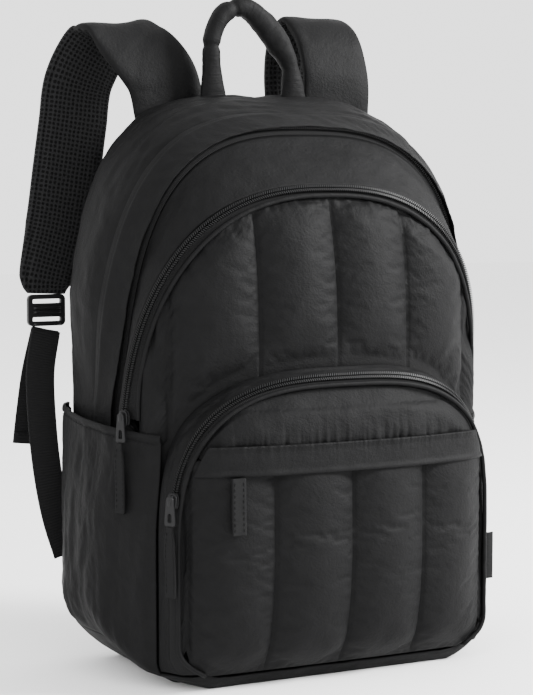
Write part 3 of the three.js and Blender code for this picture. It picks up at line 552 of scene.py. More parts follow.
# Folds
def folds(grid, across, along, seed, detail=3):
    """Noise of about -1 to 1 on a grid, with folds this wide along its columns and its rows."""
    flat = (grid_lengths(grid) / MM / (across, along)).reshape(-1, 2)
    values = [noise.fractal(Vector((u, v, seed)), 0.9, 2.0, detail) for u, v in flat]
    return np.asarray(values).reshape(grid.shape[:2])


def pushed(grid, height, towards=heart):
    return grid + normals(grid, towards) * np.asarray(height)[..., None]


def inside(grid, margin):
    """0 on a grid's edges and 1 from a margin on, in millimetres."""
    across, down = np.moveaxis(grid_lengths(grid) / MM, -1, 0)
    near = np.minimum(np.minimum(across, across[:, -1:] - across), np.minimum(down, down[-1:] - down))
    return smooth(near / margin)


def filling(grid, thickness):
    """A pad's thickness, thin at its sewn edge."""
    return mix(PAD_EDGE, thickness, inside(grid, 2 * padding))


def ridge(distance, middle, half):
    """A rounded ridge across a distance, 1 at its middle."""
    return np.sqrt(np.maximum(0, 1 - ((distance - middle) / half) ** 2))


def inflate(grid, pinned, towards):
    """Lets Blender's cloth puff a sheet out between its sewn points, and returns the new grid."""
    mesh = bpy.data.meshes.new("sheet_being_sewn")
    faces = grid_faces(*grid.shape[:2])
    mesh.from_pydata((grid.reshape(-1, 3) * MM).tolist(), [], faces.tolist())
    first = grid.reshape(-1, 3)[faces[len(faces) // 2][0]]
    if mesh.polygons[len(faces) // 2].normal.dot(Vector(first - towards(first))) < 0:
        mesh.flip_normals()
    sewn = added("sheet_being_sewn", mesh)
    seams = sewn.vertex_groups.new(name="seams")
    seams.add([int(i) for i in np.flatnonzero(pinned)], 1.0, "REPLACE")
    modifier = sewn.modifiers.new("cloth", "CLOTH")
    settings = modifier.settings
    for key, value in {
        "quality": 8,
        "mass": 0.02,
        "air_damping": 2,
        "tension_stiffness": 15,
        "compression_stiffness": 15,
        "shear_stiffness": 5,
        "bending_stiffness": 0.02,
        "vertex_group_mass": "seams",
        "shrink_min": -SLACK,
        "use_pressure": True,
        "uniform_pressure_force": PRESSURE,
    }.items():
        setattr(settings, key, value)
    settings.effector_weights.gravity = 0
    modifier.collision_settings.use_collision = False
    modifier.point_cache.frame_start = 1
    modifier.point_cache.frame_end = PUFF_FRAMES
    for step in range(1, PUFF_FRAMES + 1):
        bpy.context.scene.frame_set(step)
    moved = np.empty(grid.size)
    settled = sewn.evaluated_get(bpy.context.evaluated_depsgraph_get())
    settled.data.vertices.foreach_get("co", moved)
    bpy.data.objects.remove(sewn)
    bpy.data.meshes.remove(mesh)
    bpy.context.scene.frame_set(1)
    shift = moved.reshape(grid.shape) / MM - grid
    far = np.linalg.norm(shift, axis=-1, keepdims=True)
    return grid + shift * np.minimum(1, PUFF_LIMIT / np.maximum(far, 1e-6))


def refined(grid):
    """Twice as many points each way, on smooth curves through the old ones."""
    for axis in (0, 1):
        g = np.moveaxis(grid, axis, 0)
        ends = np.concatenate([2 * g[:1] - g[1:2], g, 2 * g[-1:] - g[-2:-1]])
        fine = np.empty((2 * len(g) - 1, *g.shape[1:]))
        fine[0::2] = g
        fine[1::2] = (9 * (ends[1:-2] + ends[2:-1]) - ends[:-3] - ends[3:]) / 16
        grid = np.moveaxis(fine, 0, axis)
    return grid


# Finishes
NOISE, WAVE, VORONOI = "ShaderNodeTexNoise", "ShaderNodeTexWave", "ShaderNodeTexVoronoi"
NYLON_GLOSS = 0.06
# Spacer mesh: a net of threads over small holes; the holes' dark colour is painted shade inside them
NET_CELL = 0.0036
NET = {"Scale": 1 / NET_CELL, "Randomness": 0.15, "voronoi_dimensions": "2D"}
SHADED_HOLES = {"From Min": 0.22, "From Max": 0.42}


def node(tree, kind, **settings):
    made = tree.nodes.new(kind)
    for key, value in settings.items():
        if key in made.inputs:
            made.inputs[key].default_value = value
        else:
            setattr(made, key, value)
    return made


def finish(name, dark, light, roughness, gloss, layers, tint=0, metallic=0.0):
    """A material of texture layers, each with its space, its kind, its settings, and the depth in
    metres and strength of its relief. The layer numbered tint runs the colour from dark to light."""
    material = bpy.data.materials.new(name)
    material.use_nodes = True
    tree = material.node_tree
    link = tree.links.new
    shader = tree.nodes["Principled BSDF"]
    for socket, value in (("Roughness", roughness), ("Specular IOR Level", gloss), ("Metallic", metallic)):
        shader.inputs[socket].default_value = value
    place = node(tree, "ShaderNodeTexCoord")
    blend = node(tree, "ShaderNodeMix", data_type="RGBA")
    blend.inputs["A"].default_value = (*dark, 1)
    blend.inputs["B"].default_value = (*light, 1)
    link(blend.outputs["Result"], shader.inputs["Base Color"])
    before = None
    for number, (space, kind, settings, depth, strength) in enumerate(layers):
        texture = node(tree, kind, **settings)
        link(place.outputs[space], texture.inputs["Vector"])
        # Voronoi cells draw the mesh holes: their relief is real, and their dark colour is painted shade inside
        # the holes
        if kind == VORONOI:
            hole_shade = node(tree, "ShaderNodeMapRange", **SHADED_HOLES)
            link(texture.outputs["Distance"], hole_shade.inputs["Value"])
            height = hole_shade.outputs["Result"]
        else:
            height = texture.outputs["Fac"]
        if number == tint:
            link(height, blend.inputs["Factor"])
        if depth:
            bump = node(tree, "ShaderNodeBump", Distance=depth, Strength=strength)
            link(height, bump.inputs["Height"])
            if before:
                link(before.outputs["Normal"], bump.inputs["Normal"])
            before = bump
    if before:
        link(before.outputs["Normal"], shader.inputs["Normal"])
    return material


def grey(value):
    return (value, value, value * 1.04)


def nylon(name, dark, light, roughness):
    """Thin crinkled nylon: small crinkles, threads and a fine weave, with a soft sheen."""
    return finish(name, grey(dark), grey(light), roughness, NYLON_GLOSS, [
        ("Object", NOISE, {"Scale": 95, "Detail": 6, "Roughness": 0.6}, 0.0013, 0.5),
        ("UV", NOISE, {"Scale": 420, "Detail": 4, "Roughness": 0.7}, 0.001, 0.55),
        ("UV", NOISE, {"Scale": 1900, "Detail": 1}, 0.0001, 0.3),
    ])


def ribbed(name, dark, light, ribs):
    """Woven tape with fine ribs across its length, ribs per metre."""
    wave = {"Scale": ribs / math.tau, "bands_direction": "Y", "Distortion": 0.4}
    return finish(name, grey(dark), grey(light), 0.8, 0.12, [
        ("UV", WAVE, wave, 0.0004, 0.6),
        ("UV", NOISE, {"Scale": 1200, "Detail": 2}, 0.0003, 0.4),
    ], tint=1)


def moulded(name, dark, light, roughness, metallic=0.0):
    """Plastic or lacquered metal with a faint grain."""
    grain = ("Object", NOISE, {"Scale": 900, "Detail": 3}, 0.0002, 0.15)
    return finish(name, grey(dark), grey(light), roughness, 0.16, [grain], 0, metallic)


shell = nylon("shell nylon", 0.0028, 0.0056, 0.58)
lining = nylon("lining", 0.003, 0.005, 0.65)
thread = ribbed("thread", 0.004, 0.007, 2500)
tape = ribbed("zipper tape", 0.003, 0.006, 1500)
belt = ribbed("webbing", 0.003, 0.007, 900)
tab_tape = ribbed("tab tape", 0.003, 0.0065, 2600)
patch = ribbed("label cloth", 0.004, 0.006, 1800)
coil = moulded("zipper coil", 0.004, 0.007, 0.45)
plastic = moulded("buckle plastic", 0.004, 0.006, 0.42)
lacquer = moulded("lacquered metal", 0.008, 0.012, 0.38, 0.3)
# The darker grey goes to the holes as painted shade, and the lighter grey is the threads' own near-black
net = finish("back mesh", grey(0.0006), grey(0.009), 0.85, 0.1, [("UV", VORONOI, NET, 0.0008, 0.8)])


# Strips between two rails
def strip(rail_a, rail_b, shares, overs, towards=heart, lift=0.0):
    a, b = rail_a(shares), rail_b(shares)
    edge = np.minimum(0.3, CLEAR / np.linalg.norm(b - a, axis=-1))[:, None]
    over = edge + (1 - 2 * edge) * np.asarray(overs)
    grid = a[:, None] + (b - a)[:, None] * over[..., None]
    away = unit(grid - towards(grid))
    return grid + away * np.broadcast_to(lift, over.shape)[..., None]


def piping(name, rail_points, shares, towards, stands_for):
    middles = rail_points(shares)
    away = unit(middles - towards(middles))
    wave = 0.25 * np.array([noise.noise(Vector(p / 9)) for p in middles])
    middles = middles + away * (PIPING_RADIUS + 2 * CLEAR + wave[:, None])
    part = ribbon(middles, away, 2 * PIPING_RADIUS, 2 * PIPING_RADIUS, 10)
    build(name, [part], stands_for)


def zipper(name, rail_a, rail_b, shares, towards, chain_at, chain_foot, stands_for):
    """Tape between two rails with a coil chain. chain_at is its place on the way over, and
    chain_foot the height at which it ends."""
    overs = np.linspace(0, 1, 17)
    width = np.linalg.norm(rail_b(shares) - rail_a(shares), axis=-1).mean()
    from_chain = (overs - chain_at) * width
    seam = 0.7 * ridge(from_chain, 0.62 * width * (1 - chain_at), 1.6)
    bed = 0.9 * smooth(1.6 - abs(from_chain) / (0.5 * chain_width))
    grid = strip(rail_a, rail_b, shares, overs, towards, bed + seam)
    path = strip(rail_a, rail_b, shares, [chain_at, chain_at + 0.02], towards, 1.9)
    places = np.arange(2, path_length(path[:, 0]) - 2, TOOTH_PITCH)
    places = places[walk(path[:, 0], places)[:, 2] > chain_foot]
    seats = walk(path[:, 0], places)
    ahead = unit(np.gradient(seats, axis=0))
    across = unit(walk(path[:, 1], places * path_length(path[:, 1]) / path_length(path[:, 0])) - seats)
    across = unit(across - ahead * np.sum(across * ahead, -1, keepdims=True))
    parts = [cloth(grid, ZIPPER_TAPE, towards)]
    for side in (-1, 1):
        long = unit(across + side * TOOTH_SKEW * ahead)
        wide = unit(ahead - long * np.sum(ahead * long, -1, keepdims=True))
        middle = seats + across * side * 0.24 * chain_width + ahead * (TOOTH_PITCH * 0.25 * side)
        parts.append(boxes(middle, long, wide, 0.56 * chain_width, 0.66 * TOOTH_PITCH, TOOTH_HEIGHT))
    build(name, parts, stands_for, [tape, coil])


# Main compartment
def main_gusset():
    trim = CLEAR / main_depth
    shares = np.linspace(-1, 1, 301)[:, None]
    grid = gusset_point(shares, np.linspace(trim, 1 - trim, 57)[None])
    on_top = smooth((grid[..., 2] - 0.8 * bag_height) / 50)
    height = 1.5 * folds(grid, 8, 60, 3.1) * on_top + 1.6 * folds(grid, 34, 42, 7.7)
    height += 0.3 * folds(grid, 6, 9, 1.3)
    grid = pushed(grid, height * inside(grid, 9))
    piece = build("main_gusset_cloth", [cloth(grid, wall)], "main_gusset")


def storm_flap():
    """A doubled strip, sewn down along its back edge, that overhangs the front seam."""
    shares = np.linspace(-0.948, 0.948, 321)
    length = np.linalg.norm(back_rail(shares) - front_rail(shares), axis=-1)
    back = np.linspace(flap_width, -8, 27)
    over = 1 - back[None] / length[:, None]
    grid = gusset_point(shares[:, None], over)
    thick = 0.6 + 1.6 * ridge(back, 4, 12.5)
    lift = mix(0.9, 3.4, smooth((flap_width - back) / 6)) - 0.5 * ridge(back, 11.8, 1.2)
    wave = 0.7 * folds(grid, 30, 26, 4.4) + 0.5 * folds(grid, 12, 7, 9.4)
    grid = pushed(grid, lift + wave * smooth((14 - back) / 8))
    parts = [cloth(grid, np.minimum(thick, 2.2))]
    piece = build("storm_flap_cloth", parts, "storm_flap")


def back_pad():
    inset = 2 * CLEAR
    arch = back_seam.inside(inset, CLEAR)
    columns = np.linspace(-1, 1, 121)
    columns = np.sin(columns * math.pi / 2)

    def foot(x):
        return np.maximum(on_base(x, base_back), arch.foot_at(x))

    def depth(x, z):
        crown = 0.6 * back_padding * (1 - limit(abs(x) / arch.half) ** 2)
        crown = crown * np.sin(math.pi * limit(z / arch.top))
        channel = ridge(abs(x), 0, 4) + ridge(abs(x), 0.42 * arch.half, 5)
        reach = smooth((z - 60) / 30) * smooth((arch.top - 50 - z) / 30)
        return back_reach + CLEAR + crown - 3.0 * channel * reach

    grid = panel(arch, columns, np.linspace(0, 1, 121), foot, arch.top_at, depth)
    piece = build("back_pad", [cloth(grid, back_padding - 0.6)], "back_panel", [net])


def base_tray():
    rounding = np.linspace(0, 1, 26) ** 1.3
    spans = ((-0.006, 0.06, 12), (0.08, 0.9, 40), (0.91, 0.98, 12))
    depths = np.concatenate([np.linspace(*span) for span in spans])
    y = (lower_side_y + depths * body_depth)[:, None]
    rim, floor = rim_half(y), plan_half(y) - corner_at(y)[1]
    softer = floor - FRONT_ROUNDING * (1 - smooth((y - pocket_front) / (0.42 * body_depth)))
    level = base_height(mix(rim, floor, rounding[None]), y)
    across = np.linspace(-0.92, 0.92, 24)[None]
    flat = base_height(across * floor, y)
    half = mix(rim, softer, rounding[None])
    x = np.concatenate([-half, across * softer, half[:, ::-1]], 1)
    turned = (CORNER_START - y) / (CORNER_START - base_front)
    corner = mix(CORNER_CUT, 1, np.sqrt(1 - limit(turned) ** 2))
    grid = stack(x * corner, y, np.concatenate([level, flat, level[:, ::-1]], 1))
    grid = pushed(grid, 0.5 * folds(grid, 14, 14, 2.2) * (grid[..., 2] > 3), base_heart)
    piece = build("base_tray", [cloth(grid, wall, base_heart)], "base_panel")


# Quilted panels
def panel(arch, columns, rises, foot, top, depth):
    x = np.broadcast_to(arch.half * columns, (len(rises), len(columns)))
    z = mix(foot(x), top(x), rises[:, None])
    return stack(x, depth(x, z), z)


def quilt_columns(arch, rim_steps):
    quilted = np.arange(-40, 41) * CELL
    rim = np.linspace(quilted[-1], arch.half, rim_steps + 1)[1:]
    return np.concatenate([-rim[::-1], quilted, rim]) / arch.half


def on_seam(x):
    """True on the quilting seams."""
    share = abs(x) / channel_width
    return (abs(share - np.round(share)) < 0.02) & (share < 2.1)


def puff(x, z, foot, top):
    across = np.minimum(abs(x / channel_width), 2 - 1e-6) % 1
    to_end = limit(np.minimum(z - foot, top - z) / (0.35 * channel_width))
    return (1 - abs(2 * across - 1) ** 3.4) * smooth(to_end)


def sewn_pad(grid, towards, lowest, highest):
    """A pad whose face is drawn in along its quilting seams, with stitches between two heights."""
    seams = np.flatnonzero(on_seam(grid[-1, :, 0]))
    drawn = np.zeros(grid.shape[:2])
    drawn[:, seams] = SEAM_DEPTH
    face = pushed(grid, -drawn * inside(grid, padding), towards)
    parts = [slab(face, grid - normals(grid, towards) * filling(grid, padding - 1)[..., None])]
    for column in seams:
        z = grid[:, column, 2]
        rows = (z > lowest(grid[0, column, 0])) & (z < highest)
        parts.append(grid_stitches(face, (rows, column), towards, sink=0.45, width=0.4))
    return parts


def seam_creases(grid, seed):
    """Short creases that run out from the quilting seams, and a few long soft folds."""
    x = grid[..., 0]
    share = np.minimum(abs(x) / channel_width, 2) % 1
    near = np.exp(-np.minimum(share, 1 - share) * channel_width / 11)
    creases = folds(grid, 15, 5, seed) * near + folds(grid, 38, 24, seed + 5)
    return CREASE * creases * (1 - 0.8 * on_seam(x))


def quilted(grid, foot, top, free, seed, puffed, towards):
    """A panel whose channels are puffed by the cloth solver. free is 0 where it is sewn flat."""
    x, z = grid[..., 0], grid[..., 2]
    seams = on_seam(x) & (np.arange(len(grid))[:, None] % 3 > 0)
    pinned = seams | (free < 0.05)
    pinned[[0, -1]] = True
    pinned[:, [0, -1]] = True
    height = 1.05 * puffed * puff(x, z, foot, top) * free
    height = height + seam_creases(grid, seed) * free * inside(grid, padding)
    return inflate(pushed(grid, height, towards), pinned, towards)


def middle_panel():
    rim = middle_rim.inside(-0.8, -0.8)

    def foot(x):
        return np.maximum(on_base(x, middle_panel_y(x, 0 * x) - wall), rim.foot_at(x))

    flat = panel(rim, quilt_columns(rim, 5), np.linspace(0, 1, 113), foot, rim.top_at, middle_panel_y)
    x, z = flat[..., 0], flat[..., 2]
    free = smooth((z - lower_seam.top_at(x) - 2 * wall) / (0.5 * channel_width))
    grid = quilted(flat, foot(x), rim.top_at(x), free, 11.0, middle_puff, heart)
    grid = refined(grid)
    x, z = grid[..., 0], grid[..., 2]
    gathers = folds(grid, 6, 40, 8.8) * np.exp(-(rim.top_at(x) - z) / 7) * smooth((rim.top_at(x) - z) / 2)
    grid = pushed(grid, 1.4 * gathers * (z > lower_seam.top))
    parts = sewn_pad(grid, heart, lambda x: lower_seam.top_at(x) + 8, bag_height)
    piece = build("middle_quilt", parts, "middle_panel", [shell, thread])


def middle_wall_rail(share):
    fade = smooth((abs(share) - 1 + LEG_SHARE) / 0.02)[..., None]
    return mix(middle_zip_rail(share), middle_rim_rail(share), fade)


def middle_pocket():
    grid = strip(inner_rail, middle_wall_rail, arch_line, np.linspace(0, 1, 21))
    height = 0.9 * folds(grid, 22, 34, 5.2) + 0.2 * folds(grid, 5, 9, 6.2)
    grid = pushed(grid, height * inside(grid, 6))
    piece = build("middle_gusset_cloth", [cloth(grid, wall)], "middle_gusset")
    zipper("middle_zip", middle_zip_rail, middle_rim_rail, crown_shares, heart, POCKET_CHAIN, 0, "middle_zipper")
    middle_panel()
    piping("middle_welt", middle_rim_rail, crown_shares, heart, "middle_piping")


def lower_panel():
    rim = lower_rim.inside(-1.4, -1.4)
    panel_top = band_top - 0.45 * band_height

    def foot(x):
        return np.maximum(on_base(x, base_front), rim.foot_at(x))

    def top(x):
        return np.minimum(panel_top, rim.top_at(x))

    flat = panel(rim, quilt_columns(rim, 2), np.linspace(0, 1, 57), foot, top, lower_panel_y)
    x, z = flat[..., 0], flat[..., 2]
    free = smooth((z - foot(x)) / 14) * smooth((panel_top + 8 - z) / 14)
    grid = refined(quilted(flat, foot(x), band_top + band_height, free, 23.0, lower_puff, pocket_heart))
    parts = sewn_pad(grid, pocket_heart, lambda x: 24, band_top - band_height - 3)
    piece = build("lower_quilt", parts, "lower_panel", [shell, thread])


def gathered(x, seed):
    """Small gathers along a seam, about 0 to 1."""
    values = [abs(noise.fractal(Vector((v / 7.5, seed, 0.5)), 0.8, 2.1, 3)) for v in np.ravel(x)]
    return limit(np.asarray(values).reshape(np.shape(x)) * 1.9)


def lower_crown():
    rim = lower_rim.inside(CLEAR, CLEAR)
    foot_z = band_top - 0.43 * band_height
    columns = np.linspace(-1, 1, 221)
    columns = columns[rim.top_at(rim.half * columns) > foot_z + 2]

    def depth(x, z):
        swollen = smooth((rim.top_at(x) - z) / (0.3 * channel_width))
        return lower_panel_y(x, z) - 0.8 * lower_puff * swollen

    grid = panel(rim, columns, np.linspace(0, 1, 33), lambda x: foot_z + 0 * x, rim.top_at, depth)
    x, z = grid[..., 0], grid[..., 2]
    above = z - band_top
    height = 1.7 * (gathered(x, 2.0) - 0.4) * np.exp(-np.maximum(0, above) / 6)
    height += 2.2 * ridge(above, 11, 14) + 0.7 * folds(grid, 30, 20, 6.6)
    grid = pushed(grid, height * inside(grid, 5), pocket_heart)
    part = cloth(grid, filling(grid, padding - 2), pocket_heart)
    piece = build("lower_crown_quilt", [part], "lower_crown")


def front_band():
    """A strip across the lower pocket, gathered along its upper seam."""
    z = np.linspace(band_top - band_height, band_top, 17)[:, None]
    share = np.linspace(-1, 1, 301)[None]
    x = (lower_rim.half_at(z) - 1.2) * share
    swell = np.where(abs(x) > 1.5 * channel_width, puff(x, z, 0, bag_height), 1)
    grid = stack(x, lower_panel_y(x, z) - lower_puff * swell - 3.05, z)
    up = (z - band_top + band_height) / band_height
    height = 0.7 * (gathered(x, 5.0) - 0.4) * up**4 + 0.6 * folds(grid, 36, 20, 3.9)
    height = height + 0.9 * ridge(up, 0.06, 0.08) + 0.9 * ridge(up, 0.95, 0.1)
    grid = pushed(grid, height, pocket_heart)
    hem = grid_stitches(grid, (15, slice(3, -3)), pocket_heart, sink=0.3, width=0.45)
    parts = [cloth(grid, 2, pocket_heart), hem]
    piece = build("front_band_cloth", parts, "front_band", [shell, thread])


def front_tab():
    """A short tape that hangs below the band, clear of the puffed channel."""
    middle = -0.735 * lower_rim.half
    top = band_top - band_height - CLEAR
    z = np.linspace(top, top - 1.9 * band_height, 45)[:, None]
    x = middle + np.linspace(-5.5, 5.5, 13)[None]
    grid = stack(x, lower_panel_y(middle, z) - lower_puff - 8 + 0 * x, z)
    grid = pushed(grid, 0.35 * folds(grid, 18, 16, 7.1), pocket_heart)
    parts = [cloth(grid, 2.2, pocket_heart)]
    for column in (2, 10):
        parts.append(grid_stitches(grid, (slice(2, -2), column), pocket_heart))
    build("front_tab_tape", parts, "front_tab", [tab_tape, thread])


def lower_pocket():
    grid = strip(lower_seam_rail, lower_zip_rail, arch_line, np.linspace(0, 1, 19), pocket_heart)
    height = 1.1 * folds(grid, 14, 22, 2.9) + 0.5 * folds(grid, 5, 8, 4.9)
    grid = pushed(grid, height * inside(grid, 5), pocket_heart)
    part = cloth(grid, wall, pocket_heart)
    piece = build("lower_gusset_cloth", [part], "lower_gusset")
    rails = lower_zip_rail, lower_rim_rail
    zipper("lower_zip", *rails, arch_line, pocket_heart, POCKET_CHAIN, LOWER_SLIDER - 4, "lower_zipper")
    lower_panel()
    lower_crown()
    piping("lower_welt", lower_rim_rail, arch_line, pocket_heart, "lower_piping")
    front_band()
    front_tab()


# Side pockets
def pocket_hem(y):
    return hem_height - hem_fall * limit((back_reach - y) / (back_reach - pocket_front))


def side_pocket(turn, name):
    """Open at a rolled elastic hem, and fastened to the base and to the seams beside it."""
    depths = np.linspace(0.982, 0.141, 121)[:, None]
    y = lower_side_y + depths * body_depth
    rises = 1 - (1 - np.linspace(0, 1, 91)[None]) ** 1.15
    foot = base_height(rim_half(y), y) + 2 * CLEAR
    z = mix(foot, pocket_hem(y), rises)
    drawn = smooth((rises - 0.55) / 0.4) * smooth((0.983 - depths) / 0.17)
    height, inset = corner_at(y)
    tucked = inset * np.maximum(0, 1 - z / height) ** corner_power
    grid = stack(turn * (plan_half(y) * (1 - 0.03 * drawn) - tucked), y, z)
    below = pocket_hem(y) - z
    near_hem = np.exp(-below / 30)
    shape = 1.7 * folds(grid, 130, 9, 3.3 * turn) * near_hem + 2.4 * folds(grid, 90, 26, 8.1 * turn)
    shape = shape + 0.5 * folds(grid, 9, 8, 5.5 * turn)
    shape = shape * inside(grid, 12) + 1.3 * ridge(below, 2.6, 2.9) - 0.6 * ridge(below, 6.4, 1.3)
    grid = pushed(grid, shape, base_heart)
    parts = [cloth(grid, wall, base_heart)]
    hem_row = int(np.argmin(abs(below[60] - 7.4)))
    parts.append(grid_stitches(grid, (slice(3, -3), hem_row), base_heart, sink=0.1))
    piece = build(name + "_cloth", parts, name, [shell, thread])


# Carrying straps
def curve(points, count):
    """A centripetal Catmull-Rom curve, sampled evenly between its points."""
    points = np.asarray(points, float)
    ends = np.concatenate([[2 * points[0] - points[1]], points, [2 * points[-1] - points[-2]]])
    t = np.linspace(0, len(points) - 1, count)
    first = np.minimum(t.astype(int), len(points) - 2)
    w = (t - first)[:, None]
    p0, p1, p2, p3 = (ends[first + k] for k in range(4))
    pairs = (p0, p1), (p1, p2), (p2, p3)
    d1, d2, d3 = (np.linalg.norm(b - a, axis=1, keepdims=True) ** 0.5 for a, b in pairs)
    start = ((p1 - p0) / d1 - (p2 - p0) / (d1 + d2) + (p2 - p1) / d2) * d2
    end = ((p2 - p1) / d2 - (p3 - p1) / (d2 + d3) + (p3 - p2) / d3) * d2
    here = (2 * w**3 - 3 * w**2 + 1) * p1 + (w**3 - 2 * w**2 + w) * start
    return here + (3 * w**2 - 2 * w**3) * p2 + (w**3 - w**2) * end


def top_seat(x, y):
    crown = gusset_point(np.linspace(-0.75, 0.75, 121), (back_reach - y) / main_depth + np.zeros(121))
    return np.interp(x, crown[:, 0], crown[:, 2])


def placed(rows, width, thickness, foot):
    """Centre points of a table's rows. The first one sits on the bag's top over its whole foot,
    which stands at this share of shell_width."""
    depth, lean = rows[0][1], rows[0][5]
    spots = []
    for t in (-0.55, -0.3, 0, 0.3, 0.55):
        x = foot * shell_width + t * width
        seats = [top_seat(x, depth * back_reach + part * thickness) for part in (-0.25, 0.25)]
        spots.append(max(seats) - lean * t * width)
    seat = max(spots) + 1.5 * CLEAR
    return [(x * shell_width, y * back_reach, seat + rise * bag_height) for x, y, rise, *_ in rows]


# x as a share of shell_width, y of back_reach, rise of bag_height, width, thickness and lean
STRAP_CRESTS = {
    "left": [
        (-0.228, 0.9, -0.022, 1.06, 0.6, 0.2),
        (-0.25, 0.93, 0.045, 1.06, 0.9, 0.2),
        (-0.31, 1.03, 0.1, 1.05, 1, 0.1),
        (-0.352, 1.2, 0.13, 1.03, 1, 0),
        (-0.364, 1.37, 0.116, 1, 1, 0),
    ],
    "right": [
        (0.276, 0.9, -0.022, 1.06, 0.6, -0.11),
        (0.28, 0.93, 0.055, 1.06, 0.9, -0.15),
        (0.272, 1.08, 0.128, 1.05, 1, -0.05),
        (0.258, 1.27, 0.152, 1.02, 1, 0),
        (0.245, 1.42, 0.12, 1, 1, 0),
    ],
}
# The rest of each strap, without its x
STRAP_FALL = [
    (1.48, 0.04, 1, 1, 0),
    (1.48, -0.04, 1, 1, 0),
    (1.46, -0.13, 1, 1, 0),
    (1.44, -0.23, 0.97, 1, 0),
    (1.42, -0.32, 0.8, 0.8, 0),
    (1.42, -0.345, 0.55, 0.45, 0),
]
STRAP_FEET = {"left": -0.23, "right": 0.253}
SIDE_SEEDS = {"left": 1.5, "right": 6.5}
HANDLE = [
    (-0.127, 0.72, -0.012, 0.6, 1.5, 0),
    (-0.132, 0.73, 0.055, 0.85, 0.95, 0),
    (-0.125, 0.74, 0.105, 1, 0.9, 0),
    (-0.09, 0.75, 0.145, 1, 1, 0),
    (-0.03, 0.76, 0.157, 1, 1, 0),
    (0.03, 0.76, 0.13, 1.1, 1.3, 0),
    (0.075, 0.75, 0.09, 1.1, 1.3, 0),
    (0.106, 0.74, 0.05, 0.85, 0.85, 0),
    (0.115, 0.72, -0.012, 0.6, 1.5, 0),
]
# y as a share of back_reach and fall of bag_height
WEBBING_FALL = [(1.42, 0), (1.33, 0.075), (1.2, 0.17), (1.12, 0.26), (1.075, 0.335), (1.05, 0.4)]
TAIL_FALL = [(1.45, 0), (1.52, 0.08), (1.54, 0.15), (1.55, 0.21)]
# x as a share of shell_width
HANG_X = {
    "left": {
        "strap": (-0.417, -0.436, -0.458, -0.485, -0.522, -0.524),
        "webbing_": (-0.524, -0.553, -0.563, -0.558, -0.54, -0.512),
        "webbing_tail_": (-0.524, -0.545, -0.558, -0.568),
    },
    "right": {
        "strap": (0.242, 0.265, 0.318, 0.385, 0.42, 0.422),
        "webbing_": (0.422, 0.453, 0.475, 0.49, 0.5, 0.503),
        "webbing_tail_": (0.422, 0.445, 0.455, 0.462),
    },
}


def spread_column(rows, column, count):
    return np.interp(np.linspace(0, len(rows) - 1, count), range(len(rows)), [row[column] for row in rows])


def edged(t, c, s, u, v):
    """Webbing is a little thinner beside its edges."""
    return u, v * (1 - 0.25 * ridge(abs(u), 0.5 * webbing_width - 2.4, 1.0))


def carrying_strap(side):
    """Foam between a nylon face and a mesh face, sewn together inside the edge."""
    rows = STRAP_CRESTS[side] + [(x, *row) for x, row in zip(HANG_X[side]["strap"], STRAP_FALL)]
    spots = placed(rows, strap_width, strap_thickness, STRAP_FEET[side])
    count, sides = 161, 48
    middles = curve(spots, count)
    lean = spread_column(rows, 5, count)
    directions = stack(1, 0, lean)
    width = strap_width * spread_column(rows, 3, count)
    thick = strap_thickness * spread_column(rows, 4, count)

    def sewn(t, c, s, u, v):
        from_edge = width[:, None] / 2 - abs(u)
        groove = 1 - 0.3 * ridge(from_edge, 5.5, 2.2) * (s < 0)
        soft = [[noise.noise(Vector((a * 26, b * 2.2, SIDE_SEEDS[side]))) for b in c] for a in t[:, 0]]
        return u, v * groove * (1 + 0.12 * np.array(soft))

    faces = np.where(np.sin((np.arange(sides) + 1.0) / sides * 2 * math.pi) < 0, 1, 0)
    body = ribbon(middles, directions, width, thick, sides, 0.55, faces, sewn)
    piece = build("strap_" + side, [body], "shoulder_strap_" + side, [shell, net])
    return spots[-1]


def ladder_lock(side, x, y, z):
    """A plate with two slots and three bars, below a strap's end. Returns where webbing starts."""
    lock_height = 1.05 * webbing_width
    top = z - 0.01 * strap_width
    centre = np.array([x, y, top - lock_height / 2])
    holes = []
    for level in (0.3, -0.3):
        hole = rounded_outline(webbing_width + 1, 2.2 * webbing_thickness, 1.4)
        holes.append([(a, b + level * webbing_width) for a, b in hole])
    right, up = np.array([1.0, 0, 0]), np.array([0, 0, 1.0])
    frame_outline = rounded_outline(1.28 * webbing_width, lock_height - 1, 3.5)
    parts = [plate(frame_outline, holes, 2.1 * webbing_thickness, centre, right, up)]
    for level, depth in ((0.08, -2.3), (-0.06, -2.3), (-0.46, -2.2)):
        bar = np.array([[x - 11.5, y + depth, centre[2] + level * webbing_width]])
        bar = np.concatenate([bar, bar + (23, 0, 0)])
        parts.append(ribbon(walk(bar, np.linspace(0, 23, 9)), (0, 1, 0), 2.2, 2.2, 10))
    build("lock_" + side, parts, "ladder_lock_" + side, [plastic])
    return top - lock_height - 0.12 * webbing_width


def webbing(side, below):
    """The webbing down to the bag and its free tail, which ends in a sewn fold."""
    for kind, fall in (("webbing_", WEBBING_FALL), ("webbing_tail_", TAIL_FALL)):
        hang = zip(HANG_X[side][kind], fall)
        path = [(a * shell_width, b * back_reach, below - c * bag_height) for a, (b, c) in hang]
        middles = curve(path, 61)
        sway = np.array([noise.noise(Vector((0.4, p[2] / 45, SIDE_SEEDS[side]))) for p in middles])
        middles = middles + stack(0, 1.2 * sway * smooth(np.linspace(0, 3, 61)), 0)
        parts = [ribbon(middles, (1, 0, 0), webbing_width, webbing_thickness, 28, 0.5, 0, edged)]
        if kind == "webbing_tail_":
            fold = middles[-8:] + (0, -1.1, 0)
            parts.append(ribbon(fold, (1, 0, 0), webbing_width - 0.4, 1.6, 20, 0.5))
            bar = stack(np.linspace(-10, 10, 9), 0, 0) + middles[-7] + (0, -2.1, 0)
            parts.append(stitches(bar, (0, -1, 0)))
        build(kind + side + "_tape", parts, kind + side, [belt, thread])


